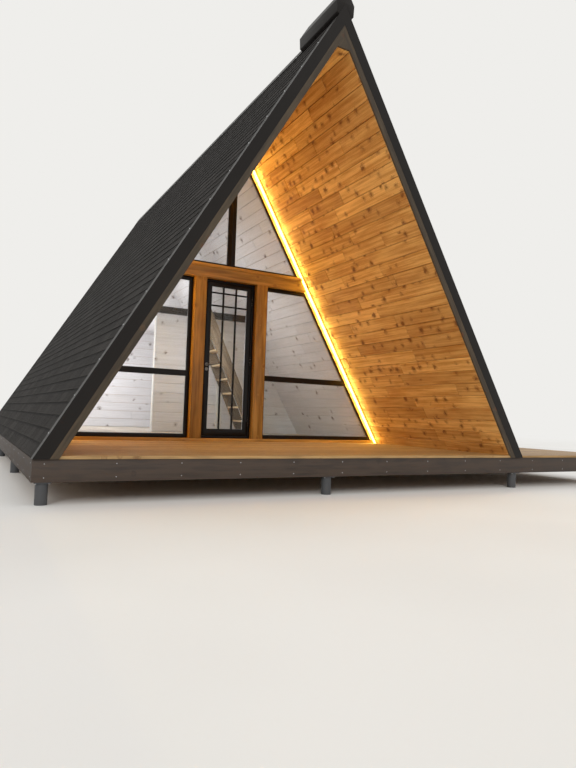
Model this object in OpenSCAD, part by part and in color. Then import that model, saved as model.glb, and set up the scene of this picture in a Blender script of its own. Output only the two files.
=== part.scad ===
// A-frame cabin on a timber platform, with a roofed terrace in front of a glazed wall.
// Frame: X runs to the right along the front wall, Y into the cabin, Z up, and millimetres.
// X = 0 is the roof's plane of symmetry, Y = 0 the front faces of the posts, and Z = 0 the ground.

/* [Roof] */
// Half of the apex angle, in degrees
roof_half_angle = 30.5; // [28:0.5:35]
// Length of the roof from its front edge to its rear edge
roof_l = 9000; // [8000:100:11000]
// How far the roof stands out in front of the front posts
front_overhang = 2940; // [2000:20:3400]
// How far the roof stands out behind the rear wall
rear_overhang = 260; // [120:20:500]
// Half of the clear width between the slopes at the height of the deck
clear_half_w = 2790; // [2600:10:3000]
// Thickness of the boards under the slopes
lining_t = 20; // [14:1:28]
// Depth of the rafters and the insulation between them
rafter_t = 150; // [120:5:220]
// Thickness of the shingles with their underlay
shingle_t = 15; // [8:1:25]
// Height of each shingle course up the slope
shingle_course = 300; // [200:10:400]
// Half of the width of the flat board under the apex
apex_board_half = 82; // [60:2:120]
// Play between the slopes and the pieces that fit against them
slope_gap = 0.1; // [0.05:0.05:1]

/* [Verges and ridge] */
// Thickness of the boards on the roof's end faces
barge_t = 25; // [18:1:35]
// Width of the bare inner band of those boards
barge_bare_w = 68; // [50:1:90]
// Sheet thickness of the metal trim on the verges and the ridge
trim_t = 3; // [2:0.5:5]
// How far the verge trim reaches over the shingles
trim_flange_w = 120; // [80:5:160]
// Width of the ridge cap down each slope
ridge_cap_w = 170; // [120:5:240]
// Length of the raised hood at the front end of the ridge
hood_l = 840; // [700:20:1400]
// Height of that hood, square to each slope
hood_h = 110; // [60:5:130]
// How far the hood's lower edges stay above those of the ridge cap
hood_inset = 10; // [5:1:20]

/* [Platform] */
// Height of the piles above the ground
pile_h = 200; // [150:10:320]
// Diameter of the piles
pile_d = 108; // [76:1:120]
// Side of the square head plate on each pile
pile_plate = 140; // [130:5:150]
// Thickness of that plate
pile_plate_t = 8; // [5:1:12]
// Depth of the floor frame
frame_depth = 200; // [160:5:240]
// Thickness of the joists in the floor frame
joist_t = 50; // [40:1:70]
// Thickness of the cross beams and of the outermost joists
rim_t = 100; // [60:5:140]
// Distance between the joists
joist_pitch = 600; // [400:10:700]
// Thickness of the deck boards
deck_t = 28; // [20:1:40]
// How far the deck's front edge stays behind the roof's front edge
deck_setback = 10; // [0:5:60]
// Width of the deck beside the roof, on the right
side_deck_w = 2180; // [1200:20:2600]
// Gap between the shingles and the deck beside them
side_gap = 10; // [6:1:20]
// Thickness of the boards that face the platform
fascia_t = 25; // [18:1:35]
// Play between those boards and the floor frame, and at their corners
fascia_gap = 0.2; // [0.1:0.1:2]
// How far the deck boards stand out over those facing boards
deck_nosing = 12; // [5:1:25]

/* [Front wall] */
// Height of the sill above the deck
sill_h = 42; // [30:1:60]
// Clear width between the two posts
door_bay_w = 840; // [800:10:1000]
// Face width of each post
post_w = 180; // [140:5:220]
// Depth of the posts and the tie beam
post_d = 180; // [160:5:220]
// Height from the sill to the underside of the tie beam
bay_h = 2430; // [2200:10:2500]
// Height of the tie beam
beam_h = 160; // [120:5:200]
// Height of the ledge on top of the tie beam
ledge_h = 45; // [30:1:60]
// How far the ledge stands out in front
ledge_out = 35; // [20:1:60]
// Distance from the posts' front faces to the window frames
window_setback = 100; // [60:5:110]
// Depth of the window frames
window_d = 60; // [50:1:70]
// Face width of the window frames
window_w = 50; // [40:1:60]
// Face width of the thinner frame members along the slopes
window_slope_w = 20; // [16:1:45]
// Height from the sill to the transom of the lower windows
transom_up = 932; // [800:10:1100]
// Height of that transom
transom_h = 66; // [45:1:80]
// Thickness of the double glazing
glass_t = 24; // [18:1:32]
// Face width of the two upper frames where they meet
mullion_w = 56; // [45:1:70]

/* [Door] */
// Face width of the door frame's jambs
jamb_w = 40; // [35:1:55]
// Height of the door frame's head
door_head_h = 26; // [20:1:40]
// Height of the threshold
threshold_h = 32; // [20:1:45]
// Thickness of the door leaf
leaf_t = 45; // [40:1:56]
// Gap around the door leaf
leaf_gap = 8; // [7:0.5:10]
// Width of the leaf's stiles
stile_w = 66; // [55:1:85]
// Height of the leaf's top rail
top_rail_h = 58; // [50:1:90]
// Height of the leaf's bottom rail
bottom_rail_h = 92; // [80:1:160]
// Height of the handle above the sill
handle_up = 1120; // [950:10:1250]
// Radius of the round plates behind the lever and the lock
rose_r = 26; // [20:1:30]
// Thickness of those plates
rose_t = 9; // [6:1:12]
// Distance from the lever down to the lock
lock_drop = 72; // [60:1:95]
// Radius of the lever
lever_r = 9; // [7:0.5:11]
// Distance from the leaf's face to the lever's axis
lever_out = 50; // [40:1:60]
// Length of the lever from the middle of its neck
lever_l = 112; // [95:1:130]
// Distance of the hinge pins in front of the door leaf
hinge_out = 14; // [13:0.5:17]
// Radius of the hinge knuckles
knuckle_r = 8; // [7:0.5:9]
// Height of the leaf's knuckles
leaf_knuckle_h = 50; // [40:1:70]
// Height of the frame's knuckles, above and below those of the leaf
frame_knuckle_h = 30; // [20:1:45]
// Gap between two knuckles
knuckle_gap = 5; // [5:0.5:8]
// Width of the hinges' plates
hinge_plate_w = 24; // [20:1:32]
// Distance from the leaf's lower and upper ends to the middles of the outer hinges
hinge_inset = 230; // [180:5:300]

/* [Light strips] */
// Width of the light strip
light_w = 45; // [25:1:60]
// Thickness of the light strip
light_t = 20; // [10:1:25]

/* [Inside] */
// Distance from the front faces of the posts to the loft's edge
loft_edge = 2500; // [2200:20:2900]
// Height from the floor to the top of the loft
loft_up = 2365; // [2250:5:2500]
// Thickness of the loft floor
loft_t = 110; // [90:5:160]
// Thickness of the loft's edge beam
loft_beam_t = 60; // [40:1:80]
// Height of the loft's edge beam
loft_beam_h = 130; // [120:5:200]
// Number of treads in the stair
tread_count = 8; // [6:1:10]
// Going of the stair from one tread to the next
tread_going = 124; // [100:2:160]
// Depth of each tread
tread_depth = 190; // [150:5:240]
// Thickness of each tread
tread_t = 35; // [25:1:45]
// Width of the stair over its stringers
stair_w = 600; // [500:10:700]
// Thickness of the stringers
stringer_t = 40; // [30:1:50]
// Width of the stringers
stringer_w = 200; // [170:5:240]
// Where the lowest tread's middle stands to the right of the middle of the cabin
stair_x = 1250; // [1100:10:1400]
// Thickness of the wall under the loft
partition_t = 100; // [60:5:140]
// How far the left end of that wall stands left of the middle of the cabin
partition_left = 400; // [300:10:600]
// Distance from the loft's edge to that wall
partition_back = 220; // [160:10:400]

/* [Rear wall] */
// Thickness of the rear wall
rear_wall_t = 180; // [120:5:220]
// Width of the window in the rear wall
rear_window_w = 900; // [700:20:1100]
// Distance from that window's upper corners to the slopes
rear_window_margin = 185; // [120:5:240]
// Height from the loft to the rear window's sill
rear_window_up = 350; // [250:10:450]

/* [Hidden] */
$fn = 32;
roof_tan = tan(roof_half_angle);
roof_cos = cos(roof_half_angle);
roof_sin = sin(roof_half_angle);
frame_z = pile_h + frame_depth;
deck_z = frame_z + deck_t;
sill_z = deck_z + sill_h;
bay_z = sill_z + bay_h;
beam_z = bay_z + beam_h;
ledge_z = beam_z + ledge_h;
roof_t = lining_t + rafter_t + shingle_t;
apex_z = deck_z + clear_half_w / roof_tan;
apex_board_z = apex_z - apex_board_half / roof_tan;
roof_front = -front_overhang;
roof_rear = roof_front + roof_l;
wall_rear = roof_rear - rear_overhang;
room_rear = wall_rear - rear_wall_t;
window_front = window_setback;
window_back = window_front + window_d;
deck_front = roof_front + deck_setback;
frame_front = deck_front + deck_nosing + fascia_t;
floor_z = sill_z;
loft_z = floor_z + loft_up;
// Half width of the roof at height z, on the plane that lies d outside the lining's inner face
function half_w(z, d = 0) = (apex_z - z) * roof_tan + d / roof_cos;
// Half width at height z of a piece that fits between the slopes, or that keeps b away from them
function fit_w(z, b = 0) = half_w(z, -slope_gap - b);
// Height of the apex of the plane that lies d outside the lining's inner face
function top_z(d = 0) = apex_z + d / roof_sin;
platform_half = half_w(frame_z, roof_t);
frame_half = platform_half - fascia_t - fascia_gap;
platform_right = platform_half + side_deck_w;
side_frame_left = platform_half + side_gap;
side_frame_right = platform_right - deck_nosing - fascia_t - fascia_gap;
side_frame_rear = -deck_nosing - fascia_t - fascia_gap;
wall_beam_front = -pile_plate / 2;
// Front and rear faces of the cross beams under the cabin, from the front to the rear
cross_beams = [
    [frame_front, frame_front + rim_t],
    [wall_beam_front, post_d],
    [room_rear / 2 - rim_t / 2, room_rear / 2 + rim_t / 2],
    [wall_rear - rim_t, wall_rear]
];
bay_half = door_bay_w / 2;
post_out = bay_half + post_w;
leaf_half = bay_half - jamb_w - leaf_gap;
leaf_low = sill_z + threshold_h + leaf_gap;
leaf_high = bay_z - door_head_h - leaf_gap;
glass_front = window_front + (window_d - glass_t) / 2;
hinge_x = leaf_half + leaf_gap / 2;
hinge_y = window_front - hinge_out;
// Heights of the middles of the three hinges
hinge_zs = [leaf_low + hinge_inset, (leaf_low + leaf_high) / 2, leaf_high - hinge_inset];
hood_low = roof_t + 2 * (trim_t + slope_gap);
// How far a cut runs past the face that it opens
over = 1;
rear_window_low = loft_z + rear_window_up;
rear_window_high = apex_z - (rear_window_w / 2 + rear_window_margin) / roof_tan;
tread_rise = loft_up / (tread_count + 1);
stair_rear = loft_edge;
stair_front = stair_rear - stair_w;

// Extrudes an outline, drawn in X and Z, along Y from y0 to y1
module along_y(y0, y1) {
    translate([0, y1, 0])
        rotate([90, 0, 0])
            linear_extrude(height = y1 - y0)
                children();
}

// Block between two corners
module block(low, high) {
    translate(low)
        cube(high - low);
}

// Outline of one slope's layer, between the planes d0 and d1, from height z0 up to the apex
module slope_outline(side, d0, d1, z0) {
    polygon([
        [side * half_w(z0, d0), z0],
        [side * half_w(z0, d1), z0],
        [0, top_z(d1)],
        [0, top_z(d0)]
    ]);
}

// Point near the ridge, a given way down one slope and h off the plane that lies d outside the lining
function ridge_point(side, d, down, h = 0) = [
    side * (down * roof_sin + h * roof_cos),
    top_z(d) - down * roof_cos + h * roof_sin
];

// Layer of one slope along the roof
module slope_layer(side, d0, d1, z0, y0, y1) {
    along_y(y0, y1)
        slope_outline(side, d0, d1, z0);
}

// Outline that fills the space between the slopes from z0 up to z1, or that keeps b away from them
module between_slopes(z0, z1, b = 0) {
    polygon([
        [-fit_w(z0, b), z0],
        [fit_w(z0, b), z0],
        [fit_w(z1, b), z1],
        [-fit_w(z1, b), z1]
    ]);
}

// Piles with square head plates, in rows under the cross beams
module piles() {
    reach = frame_half - pile_plate / 2;
    side_x = side_frame_right - pile_plate / 2;
    first = frame_front + rim_t / 2;
    color("dimgray") {
        for (y = [first, 0, room_rear / 2, wall_rear - rim_t / 2], x = [-reach, 0, reach])
            pile(x, y);
        for (y = [first, side_frame_rear - rim_t / 2])
            pile(side_x, y);
    }
}

module pile(x, y) {
    translate([x, y, 0]) {
        cylinder(h = pile_h - pile_plate_t, d = pile_d);
        translate([-pile_plate / 2, -pile_plate / 2, pile_h - pile_plate_t])
            cube([pile_plate, pile_plate, pile_plate_t]);
    }
}

// Beams across the platform, of which the front one runs on under the side deck
module cross_beams() {
    color("burlywood") {
        for (beam = cross_beams)
            let (right = beam[0] == frame_front ? side_frame_right : frame_half)
                block([-frame_half, beam[0], pile_h], [right, beam[1], frame_z]);
        block(
            [side_frame_left, side_frame_rear - rim_t, pile_h],
            [side_frame_right, side_frame_rear, frame_z]
        );
    }
}

// Joists between two beams, whose outermost ones are t0 and t1 thick
module joist_row(x0, x1, t0, t1, y0, y1) {
    bays = max(1, round((x1 - x0) / joist_pitch));
    pitch = (x1 - x0 - (t0 + t1) / 2) / bays;
    block([x0, y0, pile_h], [x0 + t0, y1, frame_z]);
    block([x1 - t1, y0, pile_h], [x1, y1, frame_z]);
    for (i = [1 : 1 : bays - 1])
        translate([x0 + t0 / 2 + i * pitch - joist_t / 2, y0, pile_h])
            cube([joist_t, y1 - y0, frame_depth]);
}

module joists() {
    color("burlywood") {
        for (i = [1 : len(cross_beams) - 1])
            joist_row(-frame_half, frame_half, rim_t, rim_t, cross_beams[i - 1][1], cross_beams[i][0]);
        joist_row(
            side_frame_left,
            side_frame_right,
            joist_t,
            rim_t,
            frame_front + rim_t,
            side_frame_rear - rim_t
        );
    }
}

// Boards that face the platform's front
module front_fascia() {
    color("saddlebrown")
        block(
            [-platform_half, frame_front - fascia_t, pile_h],
            [platform_right - deck_nosing, frame_front, frame_z]
        );
}

// Boards that face the cabin's sides and rear, and the side deck's right end and its rear edge
module side_fascia() {
    inner = platform_half - fascia_t;
    right = platform_right - deck_nosing;
    rear = wall_rear + fascia_gap;
    side_rear = side_frame_rear + fascia_gap;
    color("saddlebrown") {
        block([-platform_half, frame_front, pile_h], [-inner, wall_rear, frame_z]);
        block([-platform_half, rear, pile_h], [platform_half, rear + fascia_t, frame_z]);
        block([inner, side_rear + fascia_t, pile_h], [platform_half, wall_rear, frame_z]);
        block([side_frame_left, side_rear, pile_h], [right, side_rear + fascia_t, frame_z]);
        block([right - fascia_t, frame_front, pile_h], [right, side_frame_rear, frame_z]);
    }
}

module deck() {
    color("peru")
        along_y(deck_front, 0)
            between_slopes(frame_z, deck_z);
}

module side_deck() {
    color("peru")
        along_y(deck_front, 0)
            polygon([
                [half_w(frame_z, roof_t + side_gap), frame_z],
                [platform_right, frame_z],
                [platform_right, deck_z],
                [half_w(deck_z, roof_t + side_gap), deck_z]
            ]);
}

// Inside floor, from behind the sill to the rear wall
module floor() {
    color("lightgray")
        along_y(post_d, room_rear)
            between_slopes(frame_z, floor_z);
}

// Insulated rafters of one slope, standing on the floor frame
module roof_slab(side) {
    color("tan")
        slope_layer(side, lining_t, lining_t + rafter_t, frame_z, roof_front + barge_t, roof_rear - barge_t);
}

module roof_left() {
    roof_slab(-1);
}

module roof_right() {
    roof_slab(1);
}

// Shingles of one slope, in courses that overlap like steps
module shingles(side) {
    low = lining_t + rafter_t;
    reach = (top_z(low) - frame_z) / roof_cos;
    courses = ceil(reach / shingle_course);
    step = shingle_t / 3;
    color([0.16, 0.15, 0.14])
        along_y(roof_front, roof_rear)
            polygon(concat(
                [[0, top_z(low)], [side * half_w(frame_z, low), frame_z]],
                [for (i = [0 : courses - 1], end = [0, 1])
                    let (
                        up = min(reach, i * shingle_course + end * shingle_course),
                        d = low + shingle_t - end * step,
                        z = frame_z + up * roof_cos
                    )
                    [max(0, half_w(z, d)) * side, min(z, top_z(d))]],
                [[0, top_z(low + shingle_t - step)]]
            ));
}

module shingles_left() {
    shingles(-1);
}

module shingles_right() {
    shingles(1);
}

// Pine boards under the slope over the terrace
module soffit(side) {
    color("sandybrown")
        slope_layer(side, 0, lining_t, frame_z, roof_front + barge_t, window_back);
}

module soffit_left() {
    soffit(-1);
}

module soffit_right() {
    soffit(1);
}

// Painted boards under the slope inside
module lining(side) {
    color("gainsboro")
        slope_layer(side, 0, lining_t, frame_z, window_back, roof_rear - barge_t);
}

module lining_left() {
    lining(-1);
}

module lining_right() {
    lining(1);
}

// Flat board under the apex, along the whole roof
module apex_board() {
    color("sandybrown")
        along_y(roof_front + barge_t, roof_rear - barge_t)
            between_slopes(apex_board_z, apex_board_z + lining_t);
}

// Board on the roof's end face, with its foot cut level and a flat under the apex
module barge(side, y0) {
    color([0.45, 0.40, 0.33])
        along_y(y0, y0 + barge_t)
            polygon([
                [side * half_w(frame_z), frame_z],
                [side * half_w(frame_z, roof_t - shingle_t), frame_z],
                [0, top_z(roof_t - shingle_t)],
                [0, apex_board_z],
                [side * half_w(apex_board_z), apex_board_z]
            ]);
}

module barge_front_left() {
    barge(-1, roof_front);
}

module barge_front_right() {
    barge(1, roof_front);
}

module barge_rear() {
    rear = roof_rear - barge_t;
    barge(-1, rear);
    barge(1, rear);
}

// Folded metal trim on a verge: a face over the barge board and a flange over the shingles
module verge_trim(y_face, y_in) {
    color([0.10, 0.09, 0.08])
        for (side = [-1, 1]) {
            along_y(min(y_face, y_face + sign(y_face) * trim_t), max(y_face, y_face + sign(y_face) * trim_t))
                slope_outline(side, barge_bare_w, roof_t + trim_t, frame_z);
            along_y(min(y_face, y_in), max(y_face, y_in))
                slope_outline(side, roof_t + slope_gap, roof_t + trim_t, frame_z);
        }
}

module verge_trim_front() {
    verge_trim(roof_front, roof_front + trim_flange_w);
}

module verge_trim_rear() {
    verge_trim(roof_rear, roof_rear - trim_flange_w);
}

// Folded cap along the whole ridge
module ridge_cap() {
    low = roof_t + trim_t + slope_gap;
    color([0.10, 0.09, 0.08])
        along_y(roof_front - trim_t, roof_rear + trim_t)
            polygon([
                [0, top_z(low)],
                ridge_point(1, low, ridge_cap_w),
                ridge_point(1, low, ridge_cap_w, trim_t),
                [0, top_z(low + trim_t)],
                ridge_point(-1, low, ridge_cap_w, trim_t),
                ridge_point(-1, low, ridge_cap_w)
            ]);
}

// Raised sheet hood over the front end of the ridge, with closed ends and drawn-in lower edges
module ridge_hood() {
    front = roof_front - trim_t;
    rear = roof_front + hood_l;
    color([0.08, 0.08, 0.08])
        difference() {
            along_y(front, rear)
                hood_outline(0, 0);
            along_y(front + trim_t, rear - trim_t)
                hood_outline(trim_t, -over);
        }
}

// The hood's outline, drawn in by a sheet's thickness, and its lower edges at height h off the ridge cap
module hood_outline(inset, h) {
    reach = ridge_cap_w - hood_inset - inset;
    high = hood_h - inset;
    polygon([
        [0, top_z(hood_low + h)],
        ridge_point(1, hood_low, reach, h),
        ridge_point(1, hood_low, reach, hood_h / 3),
        ridge_point(1, hood_low, reach - hood_h + inset, high),
        [0, top_z(hood_low + high)],
        ridge_point(-1, hood_low, reach - hood_h + inset, high),
        ridge_point(-1, hood_low, reach, hood_h / 3),
        ridge_point(-1, hood_low, reach, h)
    ]);
}

module sill() {
    color("saddlebrown")
        along_y(0, post_d)
            between_slopes(frame_z, sill_z);
}

module post(side) {
    color("chocolate")
        translate([side * (bay_half + post_w / 2) - post_w / 2, 0, sill_z])
            cube([post_w, post_d, bay_h]);
}

module post_left() {
    post(-1);
}

module post_right() {
    post(1);
}

// Tie beam from slope to slope, with a ledge along its top that ends at the light strips
module tie_beam() {
    color("chocolate") {
        along_y(0, post_d)
            between_slopes(bay_z, ledge_z);
        along_y(-ledge_out, 0)
            between_slopes(beam_z, ledge_z, light_t + slope_gap);
    }
}

// Outline of the bay between a post and the slope, drawn in by inset, and by slope_inset at the slope
module bay_outline(side, inset = 0, slope_inset = 0) {
    x = post_out + inset;
    low = sill_z + inset;
    high = bay_z - inset;
    polygon([
        [side * x, low],
        [side * fit_w(low, slope_inset), low],
        [side * fit_w(high, slope_inset), high],
        [side * x, high]
    ]);
}

// The two panes of a lower window, above and below its transom
module bay_panes(side) {
    difference() {
        bay_outline(side, window_w, window_slope_w);
        translate([-clear_half_w, sill_z + transom_up])
            square([2 * clear_half_w, transom_h]);
    }
}

// Black window frame beside a post, with its transom
module window(side) {
    color([0.06, 0.05, 0.05])
        along_y(window_front, window_back)
            difference() {
                bay_outline(side);
                bay_panes(side);
            }
}

module window_left() {
    window(-1);
}

module window_right() {
    window(1);
}

// Frame of an upper window, which ends at the flat board under the apex
module gable_window(side) {
    color([0.06, 0.05, 0.05])
        along_y(window_front, window_back)
            difference() {
                polygon([
                    [0, ledge_z],
                    [side * fit_w(ledge_z), ledge_z],
                    [side * fit_w(apex_board_z), apex_board_z],
                    [0, apex_board_z]
                ]);
                gable_pane(side);
            }
}

// Glazed part of an upper window: a triangle, cut level below the frame's short head
module gable_pane(side) {
    low = ledge_z + window_w;
    peak = apex_z - (mullion_w + (window_slope_w + slope_gap) / roof_cos) / roof_tan;
    intersection() {
        polygon([
            [side * mullion_w, low],
            [side * fit_w(low, window_slope_w), low],
            [side * mullion_w, peak]
        ]);
        translate([-clear_half_w, low])
            square([2 * clear_half_w, apex_board_z - window_slope_w - low]);
    }
}

module upper_window_left() {
    gable_window(-1);
}

module upper_window_right() {
    gable_window(1);
}

module lower_glass() {
    color("lightsteelblue", 0.4)
        along_y(glass_front, glass_front + glass_t)
            for (side = [-1, 1])
                bay_panes(side);
}

module upper_glass() {
    color("lightsteelblue", 0.4)
        along_y(glass_front, glass_front + glass_t)
            for (side = [-1, 1])
                gable_pane(side);
}

// Door frame between the posts, with its halves of the hinges
module door_frame() {
    far_knuckle = leaf_knuckle_h / 2 + knuckle_gap;
    color([0.06, 0.05, 0.05]) {
        along_y(window_front, window_back)
            difference() {
                translate([-bay_half, sill_z])
                    square([2 * bay_half, bay_h]);
                translate([-bay_half + jamb_w, sill_z + threshold_h])
                    square([2 * (bay_half - jamb_w), bay_h - threshold_h - door_head_h]);
            }
        for (z = hinge_zs, low = [z + far_knuckle, z - far_knuckle - frame_knuckle_h])
            knuckle(1, low, frame_knuckle_h);
    }
}

// Door leaf: stiles and rails around one pane, with its halves of the hinges
module door_leaf() {
    color([0.06, 0.05, 0.05]) {
        along_y(window_front, window_front + leaf_t)
            difference() {
                translate([-leaf_half, leaf_low])
                    square([2 * leaf_half, leaf_high - leaf_low]);
                pane_outline();
            }
        for (z = hinge_zs)
            knuckle(-1, z - leaf_knuckle_h / 2, leaf_knuckle_h);
    }
}

module pane_outline() {
    translate([-leaf_half + stile_w, leaf_low + bottom_rail_h])
        square([2 * (leaf_half - stile_w), leaf_high - leaf_low - bottom_rail_h - top_rail_h]);
}

// Hinge knuckle on the pin's axis, with its plate on the face beside it
module knuckle(side, z, h) {
    reach = leaf_gap / 2 + hinge_plate_w;
    translate([hinge_x, hinge_y, z]) {
        cylinder(h = h, r = knuckle_r);
        translate([min(0, side * reach), 0, 0])
            cube([reach, hinge_out, h]);
    }
}

module door_glass() {
    color("lightsteelblue", 0.4)
        along_y(window_front + (leaf_t - glass_t) / 2, window_front + (leaf_t + glass_t) / 2)
            pane_outline();
}

// Lever handles with round plates and lock plates, on both faces of the door
module door_handle() {
    color("silver")
        for (face = [[window_front, 0], [window_front + leaf_t, 1]])
            translate([-leaf_half + stile_w / 2, face[0], sill_z + handle_up])
                mirror([0, face[1], 0])
                    rotate([90, 0, 0])
                        lever_set();
}

// One face's handle, which stands up from the plane Z = 0, with its lever towards +X
module lever_set() {
    cylinder(h = rose_t, r = rose_r);
    translate([0, -lock_drop, 0])
        cylinder(h = rose_t, r = rose_r);
    cylinder(h = lever_out, r = lever_r);
    translate([0, 0, lever_out]) {
        sphere(r = lever_r);
        rotate([0, 90, 0])
            cylinder(h = lever_l - lever_r, r = lever_r);
        translate([lever_l - lever_r, 0, 0])
            sphere(r = lever_r);
    }
}

// Warm light strips that follow both slopes, against the front faces of the sill and the tie beam
module light_strips() {
    color([1, 0.8, 0.4])
        along_y(-light_w, 0)
            for (side = [-1, 1])
                polygon([
                    [side * fit_w(deck_z), deck_z],
                    [side * fit_w(deck_z, light_t), deck_z],
                    [side * fit_w(apex_board_z, light_t), apex_board_z],
                    [side * fit_w(apex_board_z), apex_board_z]
                ]);
}

// Rear wall between the slopes, with a window for the loft
module rear_wall() {
    color("sandybrown")
        along_y(room_rear, wall_rear)
            difference() {
                between_slopes(frame_z, apex_board_z);
                rear_opening();
            }
}

module rear_opening() {
    translate([-rear_window_w / 2, rear_window_low])
        square([rear_window_w, rear_window_high - rear_window_low]);
}

module rear_window() {
    color([0.06, 0.05, 0.05])
        along_y(wall_rear - window_d, wall_rear)
            difference() {
                rear_opening();
                rear_panes();
            }
}

// Panes on both sides of the rear window's middle bar, which is as wide as the frame
module rear_panes() {
    pane_w = (rear_window_w - 3 * window_w) / 2;
    pane_h = rear_window_high - rear_window_low - 2 * window_w;
    for (side = [-1, 1])
        translate([side * (pane_w + window_w) / 2, (rear_window_low + rear_window_high) / 2])
            square([pane_w, pane_h], center = true);
}

module rear_glass() {
    color("lightsteelblue", 0.4)
        along_y(wall_rear - (window_d + glass_t) / 2, wall_rear - (window_d - glass_t) / 2)
            rear_panes();
}

module loft_floor() {
    color("tan")
        along_y(loft_edge + loft_beam_t, room_rear)
            between_slopes(loft_z - loft_t, loft_z);
}

module loft_beam() {
    color([0.20, 0.17, 0.15])
        along_y(loft_edge, loft_edge + loft_beam_t)
            between_slopes(loft_z - loft_beam_h, loft_z);
}

// Middle of a tread, counted from the floor, in X and Z
function tread_x(i) = stair_x - (i - 1) * tread_going;
function tread_z(i) = floor_z + i * tread_rise;

// Two sloping stringers, cut level at the floor and at the loft
module stair_stringers() {
    rake = atan(tread_rise / tread_going);
    reach = stringer_w / 2 / sin(rake);
    low_x = tread_x(0);
    high_x = tread_x(tread_count + 1);
    color([0.36, 0.31, 0.26])
        for (y = [stair_front, stair_rear - stringer_t])
            along_y(y, y + stringer_t)
                polygon([
                    [low_x - reach, floor_z],
                    [low_x + reach, floor_z],
                    [high_x + reach, loft_z],
                    [high_x - reach, loft_z]
                ]);
}

module stair_treads() {
    color("bisque")
        for (i = [1 : tread_count])
            block(
                [tread_x(i) - tread_depth / 2, stair_front + stringer_t, tread_z(i) - tread_t],
                [tread_x(i) + tread_depth / 2, stair_rear - stringer_t, tread_z(i)]
            );
}

// Wall under the loft, from an open end on the left to the right slope
module partition() {
    top = loft_z - loft_t;
    color("gainsboro")
        along_y(loft_edge + partition_back, loft_edge + partition_back + partition_t)
            polygon([
                [-partition_left, floor_z],
                [fit_w(floor_z), floor_z],
                [fit_w(top), top],
                [-partition_left, top]
            ]);
}

piles();
cross_beams();
joists();
front_fascia();
side_fascia();
deck();
side_deck();
floor();
roof_left();
roof_right();
shingles_left();
shingles_right();
soffit_left();
soffit_right();
lining_left();
lining_right();
apex_board();
barge_front_left();
barge_front_right();
barge_rear();
verge_trim_front();
verge_trim_rear();
ridge_cap();
ridge_hood();
sill();
post_left();
post_right();
tie_beam();
window_left();
window_right();
upper_window_left();
upper_window_right();
lower_glass();
upper_glass();
door_frame();
door_leaf();
door_glass();
door_handle();
light_strips();
rear_wall();
rear_window();
rear_glass();
loft_floor();
loft_beam();
stair_stringers();
stair_treads();
partition();
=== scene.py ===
"""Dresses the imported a-frame cabin: boards, shingles, trim, glazing, fittings and finishes, and the stage."""

import math
import random

import bmesh
import bpy
from mathutils import Matrix, Vector


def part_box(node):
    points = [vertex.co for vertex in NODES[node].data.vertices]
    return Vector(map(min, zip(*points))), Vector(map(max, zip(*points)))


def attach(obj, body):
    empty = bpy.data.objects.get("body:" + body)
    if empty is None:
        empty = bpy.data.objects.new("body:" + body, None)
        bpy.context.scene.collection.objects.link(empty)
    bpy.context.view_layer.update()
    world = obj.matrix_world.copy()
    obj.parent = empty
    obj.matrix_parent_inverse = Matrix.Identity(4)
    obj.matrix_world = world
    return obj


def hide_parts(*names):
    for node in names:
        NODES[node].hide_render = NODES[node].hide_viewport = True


bl_info = {
    "name": "A-frame cabin",
    "version": (1, 0, 0),
    "blender": (4, 5, 0),
    "location": "3D View > Sidebar > Cabin",
    "description": "Dresses the packed a-frame cabin with boards, shingles, trim, glazing and finishes",
    "category": "Object",
}

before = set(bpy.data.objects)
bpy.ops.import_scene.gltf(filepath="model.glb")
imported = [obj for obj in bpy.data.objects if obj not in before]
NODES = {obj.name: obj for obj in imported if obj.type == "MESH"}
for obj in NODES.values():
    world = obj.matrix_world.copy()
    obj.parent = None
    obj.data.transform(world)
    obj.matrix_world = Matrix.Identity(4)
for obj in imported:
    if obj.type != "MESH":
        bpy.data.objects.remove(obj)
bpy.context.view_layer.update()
MM = 0.001
CABIN, DOOR = "cabin", "door"
SIDES = ((-1, "left"), (1, "right"))

# The slopes, read off the frame: a layer of a slope ends at its own foot and apex
LINING_T = 20 * MM
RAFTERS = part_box("roof_right")
FOOT_Z = RAFTERS[0].z
ROOF_TAN = RAFTERS[1].x / (RAFTERS[1].z - FOOT_Z)
ROOF_SIN = math.sin(math.atan(ROOF_TAN))
ROOF_COS = math.cos(math.atan(ROOF_TAN))
APEX_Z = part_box("soffit_right")[1].z - LINING_T / ROOF_SIN
ROOF_FRONT, ROOF_REAR = (corner.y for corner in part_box("shingles_right"))
SHINGLES_IN = (RAFTERS[1].z - APEX_Z) * ROOF_SIN
SHINGLES_T = 15 * MM
APEX_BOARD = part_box("apex_board")
WINDOW_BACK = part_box("window_right")[1].y
ROOM_REAR, WALL_REAR = (corner.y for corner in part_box("rear_wall"))
FLOOR_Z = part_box("floor")[1].z
DECK_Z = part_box("deck")[1].z

# Turns what was laid along X so that it runs along the cabin
ALONG = Matrix(((0, 1, 0, 0), (1, 0, 0, 0), (0, 0, 1, 0), (0, 0, 0, 1)))


def upright(y):
    """Stands what was laid flat upright, on the plane at a given Y."""
    return Matrix(((1, 0, 0, 0), (0, 0, 1, y), (0, 1, 0, 0), (0, 0, 0, 1)))


def half_w(z, d=0.0):
    """Half width at height z of the plane that lies d outside the linings' inner faces."""
    return (APEX_Z - z) * ROOF_TAN + d / ROOF_COS


def slope_matrix(side, d=0.0):
    """From a slope's own axes, which are along the cabin, up the slope and outwards, to the frame's."""
    foot = Vector((side * half_w(FOOT_Z), 0.0, FOOT_Z))
    out = Vector((side * ROOF_COS, 0.0, ROOF_SIN))
    turn = Matrix(((0, -side * ROOF_SIN, out.x), (1, 0, 0), (0, ROOF_COS, out.z))).to_4x4()
    return Matrix.Translation(foot + out * d) @ turn


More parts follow.
